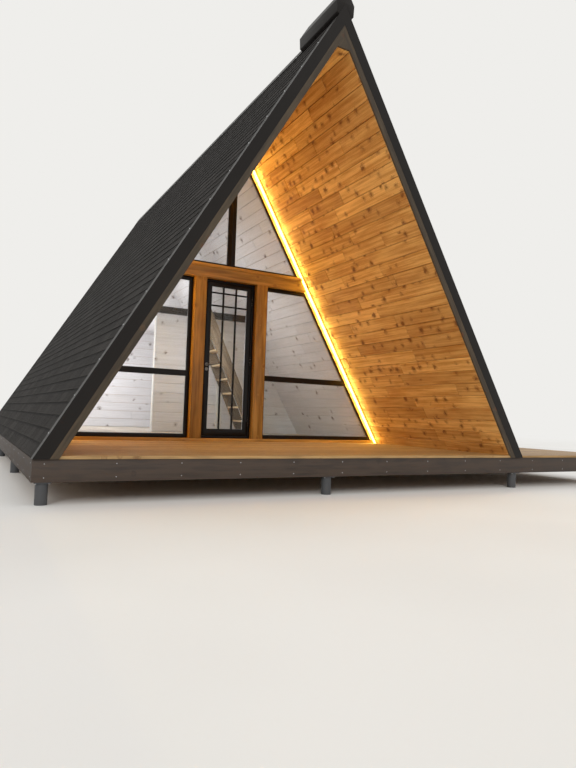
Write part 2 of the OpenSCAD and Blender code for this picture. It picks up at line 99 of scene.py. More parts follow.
def linear(code):
    """An sRGB hex colour as linear red, green and blue, with full alpha."""
    parts = [int(code[i : i + 2], 16) / 255 for i in (0, 2, 4)]
    return tuple(c / 12.92 if c <= 0.04045 else ((c + 0.055) / 1.055) ** 2.4 for c in parts) + (1.0,)


def length(name, about, default):
    """A length that a user may set, in metres."""
    return bpy.props.FloatProperty(
        name=name, description=about, default=default, unit="LENGTH", min=0.0, precision=4
    )


def colour(name, about, code):
    """A colour that a user may set."""
    return bpy.props.FloatVectorProperty(
        name=name, description=about, default=linear(code), size=4, subtype="COLOR", min=0.0, max=1.0
    )


class CabinSizes(bpy.types.PropertyGroup):
    board_pitch: length("Board pitch", "Covering width of the boards on slopes and walls", 185 * MM)
    board_gap: length("Board gap", "Open groove between two boards", 4 * MM)
    board_chamfer: length("Board chamfer", "Chamfer along the boards' visible edges", 6 * MM)
    wall_board_t: length("Wall board thickness", "Thickness of the boards on the walls", 15 * MM)
    board_l: length("Board length", "Usual length of the boards on slopes and walls", 1250 * MM)
    shingle_exposure: length("Shingle exposure", "Visible height of a shingle course", 145 * MM)
    tab_w: length("Tab width", "Width of a shingle's tab", 333 * MM)
    tab_slot: length("Tab slot", "Slot between two tabs", 8 * MM)
    deck_board_w: length("Deck board width", "Width of a deck board", 140 * MM)
    deck_gap: length("Deck gap", "Gap between two deck boards", 7 * MM)
    bead_w: length("Bead width", "Width of the glazing beads", 8 * MM)
    bead_t: length("Bead thickness", "Thickness of the glazing beads", 10 * MM)
    pane_t: length("Pane thickness", "Thickness of each pane of the double glazing", 4 * MM)
    bar_w: length("Bar width", "Width of the door's glazing bars", 19 * MM)
    casing_w: length("Casing width", "Width of the casing round the rear window", 90 * MM)
    sheet_l: length("Sheet length", "Length of the folded sheets on verges and ridge", 2000 * MM)
    lap_w: length("Lap width", "Visible width of the laps between those sheets", 30 * MM)


class CabinColours(bpy.types.PropertyGroup):
    pine: colour("Pine", "Oiled knotty pine on soffits", "E8BA73")
    pine_dark: colour("Pine grain", "Late wood of that pine", "AC7330")
    pine_knot: colour("Pine knots", "Knots of that pine", "6E3A18")
    paint: colour("Whitewash", "Whitewash on the inside boards", "EDEBEF")
    paint_dark: colour("Whitewash grain", "Grain that shows through the whitewash", "DCDADC")
    paint_knot: colour("Whitewash knots", "Knots that show through the whitewash", "75685E")
    beam: colour("Beam", "Stained pine of the posts and the tie beam", "C09045")
    beam_dark: colour("Beam grain", "Late wood of the posts and the tie beam", "8F6626")
    weathered: colour("Weathered board", "Bare boards on the verges", "554A3B")
    weathered_dark: colour("Weathered grain", "Grain of the bare boards", "3B3329")
    decking: colour("Decking", "Oiled deck boards", "B39160")
    decking_dark: colour("Decking grain", "Grain of the deck boards", "846840")
    fascia: colour("Fascia", "Dark stained boards that face the platform", "42352B")
    sawn: colour("Sawn timber", "Joists and beams", "BC9A6A")
    loft: colour("Loft beam", "Dark stained loft beam", "2E2620")
    stair: colour("Stringers", "Grey-brown stained stringers", "8A7A68")
    tread: colour("Treads", "Pale planed treads", "DCC7A4")
    floor: colour("Floorboards", "Pale floorboards", "C2B8AA")
    shingle: colour("Shingles", "Dark mineral granules", "201E1D")
    # The pale granules' colour is also painted as a highlight along each shingle course's lower edge
    shingle_light: colour("Pale granules", "Paler granules among them", "3A3633")
    trim: colour("Trim", "Dark brown coated steel of verges and ridge", "120D0A")
    window: colour("Window frames", "Black-brown coated frames", "0E0A09")
    light: colour("Light", "Warm light of the strips", "FFE450")
    steel: colour("Steel", "Primed steel of the piles", "4A4B4D")
    stage_floor: colour("Stage floor", "Pale floor of the stage", "E9E7E3")


def sizes():
    """The lengths that the user has set."""
    return bpy.context.scene.cabin_sizes


def shade(name):
    """One of the colours that the user has set, by its name, or else an sRGB hex colour."""
    known = name in CabinColours.__annotations__
    return getattr(bpy.context.scene.cabin_colours, name) if known else linear(name)


# Building blocks for pieces


def add_layers(bm):
    """Lets vertices hold a board's number and their place in its wood."""
    bm.verts.layers.float.new("seed")
    bm.verts.layers.float_vector.new("grain")
    return bm


def new_mesh():
    """An empty bmesh with those layers."""
    return add_layers(bmesh.new())


def node_copy(name):
    """A CAD node's mesh, merged and with its flat faces whole."""
    bm = bmesh.new()
    bm.from_mesh(NODES[name].data)
    bmesh.ops.remove_doubles(bm, verts=bm.verts, dist=0.02 * MM)
    bmesh.ops.dissolve_limit(
        bm, angle_limit=math.radians(0.5), verts=bm.verts, edges=bm.edges, use_dissolve_boundaries=False
    )
    return add_layers(bm)


def add_block(bm, low, high, seed=0.0):
    """A block between two corners. Returns its vertices."""
    low, high = Vector(low), Vector(high)
    place = Matrix.Translation((low + high) / 2) @ Matrix.Diagonal((*(high - low), 1.0))
    verts = bmesh.ops.create_cube(bm, size=1.0, matrix=place)["verts"]
    layer = bm.verts.layers.float["seed"]
    for v in verts:
        v[layer] = seed
    return verts


def set_grain(bm, verts=None, turn=None):
    """Writes each vertex's place in its own board, X along it, with every board cut from other wood."""
    seed = bm.verts.layers.float["seed"]
    grain = bm.verts.layers.float_vector["grain"]
    for v in verts or bm.verts:
        s = v[seed]
        v[grain] = (turn @ v.co if turn else v.co) + Vector((37.0 * s, 11.3 * s, 5.7 * s))


def chamfer(bm, edges, width, segments=1):
    """Chamfers edges, or rounds them with more segments."""
    if edges and width > 0:
        bmesh.ops.bevel(
            bm, geom=edges, offset=width, offset_type="OFFSET", affect="EDGES", segments=segments,
            profile=0.5, material=-1, clamp_overlap=True,
        )


def edges_at(bm, axis, value, tol=0.2 * MM):
    """Edges with both ends at one value of an axis."""
    return [e for e in bm.edges if all(abs(v.co[axis] - value) < tol for v in e.verts)]


def sharp_edges(bm, angle=30.0):
    """Edges between two faces that meet at more than an angle, in degrees."""
    return [e for e in bm.edges if len(e.link_faces) == 2 and e.calc_face_angle(0.0) > math.radians(angle)]


def cut(bm, point, normal):
    """Takes away what lies beyond a plane and closes the cut."""
    geom = bm.verts[:] + bm.edges[:] + bm.faces[:]
    made = bmesh.ops.bisect_plane(bm, geom=geom, plane_co=point, plane_no=normal, clear_outer=True)
    rim = [e for e in made["geom_cut"] if isinstance(e, bmesh.types.BMEdge)]
    if rim:
        bmesh.ops.holes_fill(bm, edges=rim, sides=0)


def cut_to_slopes(bm, gap=0.5 * MM):
    """Cuts a mesh that lies across the cabin to the space between the slopes."""
    for side, _ in SIDES:
        normal = Vector((side * ROOF_COS, 0.0, ROOF_SIN))
        cut(bm, Vector((0.0, 0.0, APEX_Z)) - normal * gap, normal)


def islands(bm):
    """The mesh's separate solids, as lists of vertices."""
    seen, found = set(), []
    # Taken in the mesh's own order, as a set's order would change from run to run
    for start in bm.verts:
        if start in seen:
            continue
        seen.add(start)
        group = [start]
        for v in group:
            others = [e.other_vert(v) for e in v.link_edges if e.other_vert(v) not in seen]
            seen.update(others)
            group.extend(others)
        found.append(group)
    return sorted(found, key=lambda g: tuple(round(c, 3) for c in sum((v.co for v in g), Vector()) / len(g)))


def link(name, data):
    """A new object in the scene, at the origin."""
    made = bpy.data.objects.new(name, data)
    bpy.context.scene.collection.objects.link(made)
    return made


def piece(name, bm, material, node=None, body=CABIN, smooth=False):
    """Makes the finished piece, which rides on a body and may stand for a CAD node."""
    bmesh.ops.recalc_face_normals(bm, faces=bm.faces)
    mesh = bpy.data.meshes.new(name)
    bm.to_mesh(mesh)
    bm.free()
    mesh.materials.append(finish(material))
    if smooth:
        mesh.shade_smooth()
        mesh.set_sharp_from_angle(angle=math.radians(35.0))
    made = link(name, mesh)
    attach(made, body)
    if node:
        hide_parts(node)
    return made


def timber_piece(name, node, material, arris):
    """A CAD node's timbers with rounded edges, and with the grain along each one's longest edge."""
    bm = node_copy(node)
    rng = random.Random(name)
    seed = bm.verts.layers.float["seed"]
    for group in islands(bm):
        number = rng.random()
        for v in group:
            v[seed] = number
    chamfer(bm, sharp_edges(bm), arris, 2)
    for group in islands(bm):
        edges = [e for v in group for e in v.link_edges]
        along = max(edges, key=lambda e: e.calc_length())
        axis = (along.verts[1].co - along.verts[0].co).normalized()
        face = max(along.link_faces, key=lambda f: f.calc_area())
        across = face.normal.cross(axis).normalized()
        set_grain(bm, group, Matrix((axis, across, axis.cross(across))))
    piece(name, bm, material, node, smooth=True)


def section_piece(node, body=CABIN):
    """A CAD node's extruded frame with rounded edges."""
    bm = node_copy(node)
    chamfer(bm, sharp_edges(bm), 2.5 * MM, 2)
    piece(f"{node}_section", bm, "black frame coat", node, body, smooth=True)


def board_rows(bm, box, name, board_l=None, hole=None):
    """Rows of boards along X in a box, joined end to end at random. A hole, as x0, x1, y0, y1, stays open."""
    x0, x1, y0, y1, z0, z1 = box
    rng = random.Random(name)
    pitch, gap = sizes().board_pitch, sizes().board_gap
    board_l = board_l or sizes().board_l
    end_gap = 0.8 * MM
    row = 0
    while y0 + row * pitch < y1 - gap:
        low, high = y0 + row * pitch, min(y0 + (row + 1) * pitch, y1) - gap
        row += 1
        ends = [x0]
        reach = x0 + rng.uniform(0.3, 1.4) * board_l
        while reach < x1 - 0.3 * board_l:
            ends.append(reach)
            reach += rng.uniform(0.6, 1.5) * board_l
        for a, b in zip(ends, [*ends[1:], x1]):
            seed = rng.random()
            a, b = a + end_gap * (a > x0), b - end_gap * (b < x1)
            for p, q, r, s in around_hole(a, b, low, high, hole):
                add_block(bm, (p, r, z0), (q, s, z1), seed)


def around_hole(a, b, low, high, hole):
    """The parts of one board, as x0, x1, y0 and y1, that are left round a hole."""
    if hole is None or high <= hole[2] or low >= hole[3] or b <= hole[0] or a >= hole[1]:
        return [(a, b, low, high)]
    left = [(a, hole[0], low, high)] if a < hole[0] else []
    right = [(hole[1], b, low, high)] if b > hole[1] else []
    middle = (max(a, hole[0]), min(b, hole[1]))
    below = [(*middle, low, hole[2])] if low < hole[2] else []
    above = [(*middle, hole[3], high)] if high > hole[3] else []
    return left + right + below + above


def boarding(
    name, box, face, turn, material, node=None, wood=None, board_l=None, hole=None, to_slopes=True
):
    """Boards in a box, chamfered on the face at one Z, turned into place and cut to the slopes."""
    bm = new_mesh()
    board_rows(bm, box, wood or name, board_l, hole)
    chamfer(bm, edges_at(bm, 2, face), sizes().board_chamfer)
    set_grain(bm)
    bm.transform(turn)
    if to_slopes:
        cut_to_slopes(bm)
    piece(name, bm, material, node)


def slope_boards(name, side, y0, y1, material, node=None):
    """Tongued boards along one slope, from the foot to the flat board under the apex."""
    reach = (APEX_BOARD[0].z + 10 * MM - FOOT_Z) / ROOF_COS
    box = (y0, y1, 0.0, reach, 0.0, LINING_T)
    boarding(name, box, 0.0, slope_matrix(side), material, node, to_slopes=False)


def outline(node, direction):
    """The corners of each solid's face that looks one way, in order."""
    bm = node_copy(node)
    bm.normal_update()
    found = [[v.co.copy() for v in f.verts] for f in bm.faces if f.normal.dot(Vector(direction)) > 0.99]
    bm.free()
    return found


def rectangle(node, margin):
    """The corners of a CAD node's box as seen from the front, grown by a margin."""
    low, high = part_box(node)
    x0, z0, x1, z1 = low.x - margin, low.z - margin, high.x + margin, high.z + margin
    return [Vector((x, 0.0, z)) for x, z in ((x0, z0), (x1, z0), (x1, z1), (x0, z1))]


def add_sheet(bm, corners, y0, y1, inset=0.0, width=None):
    """A plate between two Y planes with an outline drawn in by an inset, or only its rim of a given width."""
    face = bm.faces.new([bm.verts.new((c.x, y0, c.z)) for c in corners])
    bm.normal_update()
    if inset > 0:
        rim = bmesh.ops.inset_individual(bm, faces=[face], thickness=inset, use_even_offset=True)["faces"]
        bmesh.ops.delete(bm, geom=rim, context="FACES")
    faces = [face]
    if width:
        faces = bmesh.ops.inset_individual(bm, faces=[face], thickness=width, use_even_offset=True)["faces"]
        bmesh.ops.delete(bm, geom=[face], context="FACES_ONLY")
    made = bmesh.ops.extrude_face_region(bm, geom=faces)["geom"]
    verts = [g for g in made if isinstance(g, bmesh.types.BMVert)]
    bmesh.ops.translate(bm, verts=verts, vec=(0.0, y1 - y0, 0.0))


def add_screws(bm, points, normal=(0, 0, 1), radius=5 * MM, height=2 * MM, sides=8):
    """Low domed screw heads on points, looking along a normal."""
    turn = Vector((0, 0, 1)).rotation_difference(Vector(normal)).to_matrix().to_4x4()
    for p in points:
        bmesh.ops.create_cone(
            bm, cap_ends=True, segments=sides, radius1=radius, radius2=radius * 0.6, depth=height,
            matrix=Matrix.Translation(Vector(p) + Vector(normal) * height / 2) @ turn,
        )


def span(a, b, step):
    """Evenly spread values from a to b, about a step apart."""
    count = max(1, round((b - a) / step))
    return [a + (b - a) * i / count for i in range(count + 1)]


def sheet_laps(name, side, out, laps):
    """Laps between folded sheets, as x0, x1, y0 and y1 on the plane that lies out from a slope."""
    lap_t = 1.2 * MM
    bm = new_mesh()
    for x0, x1, y0, y1 in laps:
        add_block(bm, (x0, y0, 0.0), (x1, y1, lap_t))
    chamfer(bm, edges_at(bm, 2, lap_t), 0.8 * MM)
    bm.transform(slope_matrix(side, out))
    piece(name, bm, "brown coated steel")


def sheet_screws(name, side, out, heads):
    """Screws through folded sheets, on the plane that lies out from a slope."""
    bm = new_mesh()
    add_screws(bm, [(x, y, 0.0) for x, y in heads], radius=8 * MM, height=4 * MM)
    bm.transform(slope_matrix(side, out))
    piece(name, bm, "brushed steel", smooth=True)


def glaze(node, word, body=CABIN):
    """Two panes with a spacer between them, and beads and a gasket on both faces."""
    s = sizes()
    gasket_w, spacer_w = 3 * MM, 12 * MM
    low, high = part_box(node)
    panes, spacer, beads, gaskets = (new_mesh() for _ in range(4))
    for loop in outline(node, (0, -1, 0)):
        add_sheet(panes, loop, low.y, low.y + s.pane_t, 0.5 * MM)
        add_sheet(panes, loop, high.y - s.pane_t, high.y, 0.5 * MM)
        add_sheet(spacer, loop, low.y + s.pane_t, high.y - s.pane_t, 1 * MM, spacer_w)
        for near, out in ((low.y, -1), (high.y, 1)):
            add_sheet(beads, loop, near, near + out * s.bead_t, 0.2 * MM, s.bead_w)
            add_sheet(gaskets, loop, near, near + out * gasket_w, s.bead_w, gasket_w)
    chamfer(beads, sharp_edges(beads), 1.5 * MM)
    piece(f"{word}_panes", panes, "window glass", node, body)
    piece(f"{word}_spacers", spacer, "brushed steel", body=body)
    piece(f"{word}_beads", beads, "black frame coat", body=body)
    piece(f"{word}_gaskets", gaskets, "black rubber", body=body)


# Building blocks for materials


def add(tree, kind, settings=None, inputs=None):
    """Adds a shader node with its settings, its input values and its links."""
    made = tree.nodes.new("ShaderNode" + kind)
    for name, value in (settings or {}).items():
        setattr(made, name, value)
    for name, value in (inputs or {}).items():
        if isinstance(value, bpy.types.NodeSocket):
            tree.links.new(value, made.inputs[name])
        else:
            made.inputs[name].default_value = value
    return made


def new_material(name):
    """A material with an empty tree."""
    material = bpy.data.materials.new(name)
    material.use_nodes = True
    material.node_tree.nodes.clear()
    return material, material.node_tree


def close(tree, shader):
    """Ends a material's tree in a shader."""
    add(tree, "OutputMaterial", None, {"Surface": shader.outputs[0]})


def surface(tree, inputs):
    """Ends a material's tree in a Principled shader."""
    close(tree, add(tree, "BsdfPrincipled", None, inputs))


def mix_shaders(tree, share, a, b):
    """Shader a, or b where the share is 1."""
    return add(tree, "MixShader", None, {0: share, 1: a.outputs[0], 2: b.outputs[0]})


def attribute(tree, name, output="Vector"):
    """A mesh's own attribute."""
    return add(tree, "Attribute", {"attribute_name": name}).outputs[output]


def object_place(tree):
    """A point's place on its object, in metres."""
    return add(tree, "TexCoord").outputs["Object"]


def split(tree, kind, value):
    """The parts of a vector, whose kind is XYZ, or of a colour, whose kind is Color."""
    return add(tree, "Separate" + kind, None, {0: value}).outputs


def stretch(tree, vector, scale):
    """A vector with its three parts scaled."""
    return add(tree, "Mapping", {"vector_type": "POINT"}, {"Vector": vector, "Scale": scale}).outputs[0]


def noise(tree, vector, scale, detail=2.0, rough=0.5, output="Fac"):
    """A noise of so many waves a metre, or of so many along X, Y and Z."""
    if isinstance(scale, tuple):
        vector, scale = stretch(tree, vector, scale), 1.0
    inputs = {"Vector": vector, "Scale": scale, "Detail": detail, "Roughness": rough}
    return add(tree, "TexNoise", None, inputs).outputs[output]


def bump(tree, strength, distance, height):
    """The normal of a surface with a fine relief."""
    inputs = {"Strength": strength, "Distance": distance, "Height": height}
    return add(tree, "Bump", None, inputs).outputs[0]


def ramp(tree, value, *stops):
    """A colour ramp through stops of place and colour."""
    made = add(tree, "ValToRGB", None, {"Fac": value})
    points = made.color_ramp.elements
    while len(points) < len(stops):
        points.new(0.5)
    for point, (place, name) in zip(points, stops):
        point.position = place
        point.color = shade(name)
    return made.outputs["Color"]


def blend_colour(tree, factor, a, b, mode="MIX"):
    """Colour a, with b laid over it by a factor."""
    return add(tree, "Mix", {"data_type": "RGBA", "blend_type": mode}, {0: factor, 6: a, 7: b}).outputs[2]


def calc(tree, operation, *values):
    """One sum with numbers."""
    return add(tree, "Math", {"operation": operation}, dict(enumerate(values))).outputs[0]


def vector_calc(tree, operation, *values):
    """One sum with vectors. Returns all outputs."""
    return add(tree, "VectorMath", {"operation": operation}, dict(enumerate(values))).outputs


def remap(tree, value, low, high, to_low, to_high, smooth=False):
    """Carries a range over to another, with soft ends if smooth."""
    kind = {"interpolation_type": "SMOOTHSTEP"} if smooth else None
    return add(tree, "MapRange", kind, {0: value, 1: low, 2: high, 3: to_low, 4: to_high}).outputs[0]


def seen_rays(tree):
    """1 for rays that an eye, a mirror or glass sees a surface by, and 0 for those that light things."""
    path = add(tree, "LightPath").outputs
    indirect = calc(tree, "MAXIMUM", path["Is Glossy Ray"], path["Is Transmission Ray"])
    return calc(tree, "MAXIMUM", path["Is Camera Ray"], indirect)


# Materials


def timber(
    name, light, dark, knot, ring_mm=9.0, knots=0.3, knot_mm=12.0, depth=1.0, rough=0.5, tones=0.1, solid=True
):
    """Softwood: rings that flow round uneven knots, fine fibres, and boards of different tone."""
    material, tree = new_material(name)
    grain, seed = attribute(tree, "grain"), attribute(tree, "seed", "Fac")
    cell, knot_w, ring_w = 150 * MM, knot_mm * MM, ring_mm * MM
    # Knots of up to 70 mm get lobes and branches from a noise of 45 mm
    lobes = noise(tree, grain, 22.0, 4.0, output="Color")
    lobes = vector_calc(tree, "SUBTRACT", lobes, (0.5, 0.5, 0.5))[0]
    uneven = vector_calc(tree, "MULTIPLY_ADD", lobes, (2.6 * knot_w, 2.6 * knot_w, 0.0), grain)[0]
    cells = add(
        tree, "TexVoronoi", {"voronoi_dimensions": "3D" if solid else "2D"},
        {"Vector": stretch(tree, uneven, (0.95, 0.9, 1.0)), "Scale": 1 / cell, "Randomness": 1.0},
    ).outputs
    chance = split(tree, "Color", cells["Color"])
    # Most knots are small, and a few are as large as knot_mm
    spread = calc(tree, "POWER", chance["Green"], 2.0)
    size = remap(tree, spread, 0.0, 1.0, 0.25 * knot_w / cell, knot_w / cell)
    cluster = noise(tree, grain, 1.7, 0.0)
    likely = remap(tree, cluster, 0.35, 0.65, 1.0 - 0.4 * knots, 1.0 - 1.5 * knots)
    there = calc(tree, "GREATER_THAN", chance["Red"], likely)
    rim = calc(tree, "SUBTRACT", cells["Distance"], calc(tree, "MULTIPLY", size, there))
    inside = remap(tree, rim, 0.05, -0.08, 0.0, 1.0, True)
    halo = calc(tree, "MULTIPLY", remap(tree, rim, 0.26, 0.0, 0.0, 1.0, True), there)
    # Rings bend round the knots
    parts = split(tree, "XYZ", grain)
    bent = calc(tree, "MULTIPLY_ADD", halo, 2.2 * ring_w, parts["Y"])
    flow = {"X": calc(tree, "MULTIPLY", parts["X"], 0.16), "Y": bent, "Z": parts["Z"]}
    rings = add(
        tree, "TexWave", {"wave_type": "BANDS", "bands_direction": "Y"},
        {"Vector": add(tree, "CombineXYZ", None, flow).outputs[0], "Scale": math.pi / (10 * ring_w),
         "Distortion": 7.0, "Detail": 2.0, "Detail Scale": 0.35, "Detail Roughness": 0.55},
    ).outputs["Fac"]
    tone = noise(tree, grain, (2.2, 9.0, 9.0), 3.0, 0.55)
    # Streaks of late wood, 15 to 40 mm wide and up to a metre long, and fibres of 2 mm
    streaks = noise(tree, grain, (1.1, 34.0, 34.0), 4.0, 0.6)
    fibre = noise(tree, grain, (9.0, 420.0, 420.0))
    mixed = calc(tree, "MULTIPLY_ADD", rings, 0.2, calc(tree, "MULTIPLY", tone, 0.4))
    mixed = calc(tree, "MULTIPLY_ADD", streaks, 0.75, mixed)
    mixed = calc(tree, "MULTIPLY_ADD", fibre, 0.12, mixed)
    wood = ramp(tree, mixed, (0.57, light), (0.90, dark))
    # A darker board is also a redder one
    shades = {
        channel: remap(tree, seed, 0.0, 1.0, 1.0 - share * tones, 1.0 + 0.4 * tones)
        for channel, share in (("Red", 0.75), ("Green", 1.0), ("Blue", 1.25))
    }
    shades = add(tree, "CombineColor", None, shades).outputs[0]
    wood = blend_colour(tree, 1.0, wood, shades, "MULTIPLY")
    wood = blend_colour(tree, calc(tree, "MULTIPLY", halo, 0.42), wood, shade(knot))
    wood = blend_colour(tree, calc(tree, "MULTIPLY", inside, 0.78), wood, shade(knot))
    height = calc(tree, "MULTIPLY_ADD", rings, 0.5, calc(tree, "MULTIPLY_ADD", fibre, 0.7, inside))
    sheen = remap(tree, mixed, 0.5, 0.95, rough + 0.1, rough - 0.05)
    relief = bump(tree, 0.6, 0.7 * MM * depth, height)
    surface(tree, {"Base Color": wood, "Roughness": sheen, "Normal": relief})
    return material


def bitumen_shingle(name):
    """Granules of 1 to 2 mm, drawn at 6 mm so that they show, on tabs of their own tone."""
    material, tree = new_material(name)
    place = object_place(tree)
    granules = add(tree, "TexVoronoi", None, {"Vector": place, "Scale": 1 / (6 * MM)}).outputs
    fleck = split(tree, "Color", granules["Color"])["Red"]
    seed = attribute(tree, "seed", "Fac")
    mixed = calc(tree, "MULTIPLY_ADD", seed, 0.42, calc(tree, "MULTIPLY", fleck, 0.45))
    mixed = calc(tree, "MULTIPLY_ADD", noise(tree, place, 1.4, 4.0), 0.35, mixed)
    tone = ramp(tree, mixed, (0.25, "26231F"), (0.62, "shingle"), (1.0, "shingle_light"))
    # A course gets a painted shadow band just below the next course, and a painted highlight along its own
    # lower edge
    within = calc(tree, "FRACT", split(tree, "XYZ", attribute(tree, "grain"))["Y"])
    tone = blend_colour(tree, remap(tree, within, 0.72, 0.98, 0.0, 0.8, True), tone, shade("0A0908"))
    tone = blend_colour(tree, remap(tree, within, 0.16, 0.03, 0.0, 0.3, True), tone, shade("shingle_light"))
    surface(tree, {
        "Base Color": tone, "Roughness": remap(tree, fleck, 0.0, 1.0, 0.85, 1.0), "Specular IOR Level": 0.2,
        "Normal": bump(tree, 0.8, 1.5 * MM, granules["Distance"]),
    })
    return material


def coated_sheet(name, base, rough=0.45, grime=0.16, dust="4A443E"):
    """Metal under a satin coat: a slight orange peel, scuffs, and dust that settles on what faces up."""
    material, tree = new_material(name)
    place = object_place(tree)
    up = split(tree, "XYZ", add(tree, "NewGeometry").outputs["Normal"])["Z"]
    up = remap(tree, up, 0.1, 1.0, 0.15, 1.0)
    clouds = remap(tree, noise(tree, place, 2.2, 5.0), 0.4, 0.7, 0.0, 1.0, True)
    settled = calc(tree, "MULTIPLY", calc(tree, "MULTIPLY", up, clouds), grime)
    scuffs = noise(tree, place, (40.0, 6.0, 40.0), 6.0, 0.7)
    surface(tree, {
        "Base Color": blend_colour(tree, settled, shade(base), shade(dust)),
        "Roughness": calc(tree, "MULTIPLY_ADD", scuffs, 0.25, rough - 0.1), "Specular IOR Level": 0.25,
        "Normal": bump(tree, 0.25, 0.4 * MM, noise(tree, place, 260.0, 1.0)),
    })
    return material


def brushed_metal(name, base, rough=0.3):
    """Metal brushed along its length: a stretched highlight and fine lines."""
    material, tree = new_material(name)
    lines = noise(tree, object_place(tree), (60.0, 900.0, 900.0))
    surface(tree, {
        "Base Color": shade(base), "Metallic": 1.0, "Normal": bump(tree, 0.15, 0.2 * MM, lines),
        "Roughness": remap(tree, lines, 0.2, 0.8, rough - 0.08, rough + 0.12),
    })
    return material


def black_rubber(name):
    """Dull, with a slight dusty bloom."""
    material, tree = new_material(name)
    bloom = noise(tree, object_place(tree), 30.0, 3.0)
    surface(tree, {"Base Color": ramp(tree, bloom, (0.3, "0E0E0E"), (0.8, "1C1B1A")), "Roughness": 0.75})
    return material


def window_glass(name):
    """Clear, mirroring faintly and more at a glance, so that the room shows."""
    material, tree = new_material(name)
    smears = noise(tree, object_place(tree), 3.0, 4.0)
    veil = remap(tree, smears, 0.45, 0.75, 0.01, 0.05)
    clear = add(tree, "BsdfTransparent", None, {"Color": shade("FCFDFC")})
    mirror = add(tree, "BsdfGlossy", None, {"Color": shade("FFFFFF"), "Roughness": veil})
    share = calc(tree, "MULTIPLY", add(tree, "Fresnel", None, {"IOR": 1.5}).outputs[0], 0.2)
    close(tree, mix_shaders(tree, share, clear, mirror))
    return material


def light_cover(name):
    """Glows warm yellow, a little unevenly over the diodes behind it."""
    material, tree = new_material(name)
    glow = ramp(tree, noise(tree, object_place(tree), 40.0, 1.0), (0.3, "light"), (0.7, "FFEA66"))
    surface(tree, {
        "Base Color": shade("FFF0D0"), "Roughness": 0.4, "Emission Color": glow, "Emission Strength": 10.0,
    })
    return material


def white_paint(name):
    """Smooth, with faint brush lines."""
    material, tree = new_material(name)
    lines = noise(tree, object_place(tree), (240.0, 240.0, 6.0), 3.0)
    surface(tree, {
        "Base Color": ramp(tree, lines, (0.2, "E2E0DA"), (0.8, "EDEBE6")),
        "Roughness": remap(tree, lines, 0.2, 0.8, 0.42, 0.55), "Normal": bump(tree, 0.3, 0.3 * MM, lines),
    })
    return material


# Each material's usual slot, its maker, its colours and its settings
FINISHES = {
    # Planed and oiled pine: orange with a satin sheen, and dark knots with flowing grain
    "knotty pine": ("soffit_pine", timber, "pine", "pine_dark", "pine_knot",
                    dict(ring_mm=10.0, knots=0.5, knot_mm=32.0, tones=0.3, solid=False)),
    # Brushed pine under thin white paint: knots and grain show through faintly
    "whitewashed pine": ("lining_paint", timber, "paint", "paint_dark", "paint_knot",
                         dict(ring_mm=11.0, knots=0.12, knot_mm=30.0, depth=0.8, rough=0.6, tones=0.05,
                              solid=False)),
    # Glued pine timbers under a clear orange stain
    "stained pine": ("post_timber", timber, "beam", "beam_dark", "pine_knot",
                     dict(ring_mm=14.0, knot_mm=16.0)),
    # Bare sawn boards gone grey-brown outdoors: deep grain and no sheen
    "weathered board": ("barge_timber", timber, "weathered", "weathered_dark", "pine_knot",
                        dict(ring_mm=8.0, knots=0.4, depth=2.0, rough=0.8, tones=0.2)),
    # Oiled softwood decking, a little worn
    "decking board": ("deck_boards", timber, "decking", "decking_dark", "pine_knot",
                      dict(knots=0.4, knot_mm=14.0, depth=1.6, rough=0.62, tones=0.32, solid=False)),
    # Boards under a dark opaque stain, through which only the grain's relief shows
    "dark stained board": ("fascia_timber", timber, "fascia", "2E241D", "1E1712",
                           dict(ring_mm=8.0, knot_mm=11.0, depth=1.8, rough=0.6, tones=0.12)),
    # Rough sawn structural softwood with a deep fibre
    "sawn softwood": ("frame_timber", timber, "sawn", "97754A", "pine_knot",
                      dict(knots=0.5, knot_mm=14.0, depth=2.4, rough=0.8, tones=0.16)),
    # Planed beam under a dark brown stain
    "dark stained beam": ("loft_timber", timber, "loft", "1F1814", "130E0B", dict(ring_mm=12.0)),
    # Planed softwood under a grey-brown stain
    "stringer timber": ("stair_timber", timber, "stair", "6E604F", "3A2F24", dict(ring_mm=11.0, knots=0.35)),
    # Pale planed softwood, unstained
    "tread timber": ("tread_timber", timber, "tread", "C3A57A", "7A5433",
                     dict(ring_mm=10.0, knot_mm=10.0, depth=0.8, tones=0.12)),
    # Pale lacquered floorboards with a satin sheen
    "floorboard": ("floor_boards", timber, "floor", "A89C8C", "75685A",
                   dict(ring_mm=12.0, knot_mm=14.0, depth=0.6, rough=0.38, tones=0.16, solid=False)),
    # Felt with mineral granules: matt, rough and flecked, with a painted shadow under the next course and a
    # painted highlight along each course's lower edge
    "bitumen shingle": ("shingles", bitumen_shingle, {}),
    # Folded sheet with a dark brown polyester coat, on the verges, the ridge and the hood
    "brown coated steel": ("dark_metal", coated_sheet, "trim", {}),
    # Powder-coated window and door sections, nearly black with a touch of brown
    "black frame coat": ("window_black", coated_sheet, "window", dict(rough=0.34, grime=0.06)),
    # Galvanised and primed steel of the piles
    "primed steel": ("pile_steel", coated_sheet, "steel", dict(rough=0.5, grime=0.5, dust="6B5B4A")),
    # Bright stainless steel of screws, bolts, spacers and channels
    "brushed steel": ("handle_steel", brushed_metal, "C3C4C6", {}),
    # Brushed nickel plate on the lever and its plates: grey, with a broad soft highlight
    "satin nickel": ("handle_steel", brushed_metal, "7C7B78", dict(rough=0.4)),
    # Extruded rubber of gaskets and seals
    "black rubber": ("window_black", black_rubber, {}),
    # Coated float glass
    "window glass": ("glazing", window_glass, {}),
    # Opal plastic over the light strip
    "light cover": ("warm_light", light_cover, {}),
    # Satin paint on smooth wood
    "plain white paint": ("lining_paint", white_paint, {}),
}
MADE = {}


def finish(name):
    """The material of a name, made once."""
    if name not in MADE:
        _, maker, *colours, settings = FINISHES[name]
        MADE[name] = maker(name, *colours, **settings)
    return MADE[name]


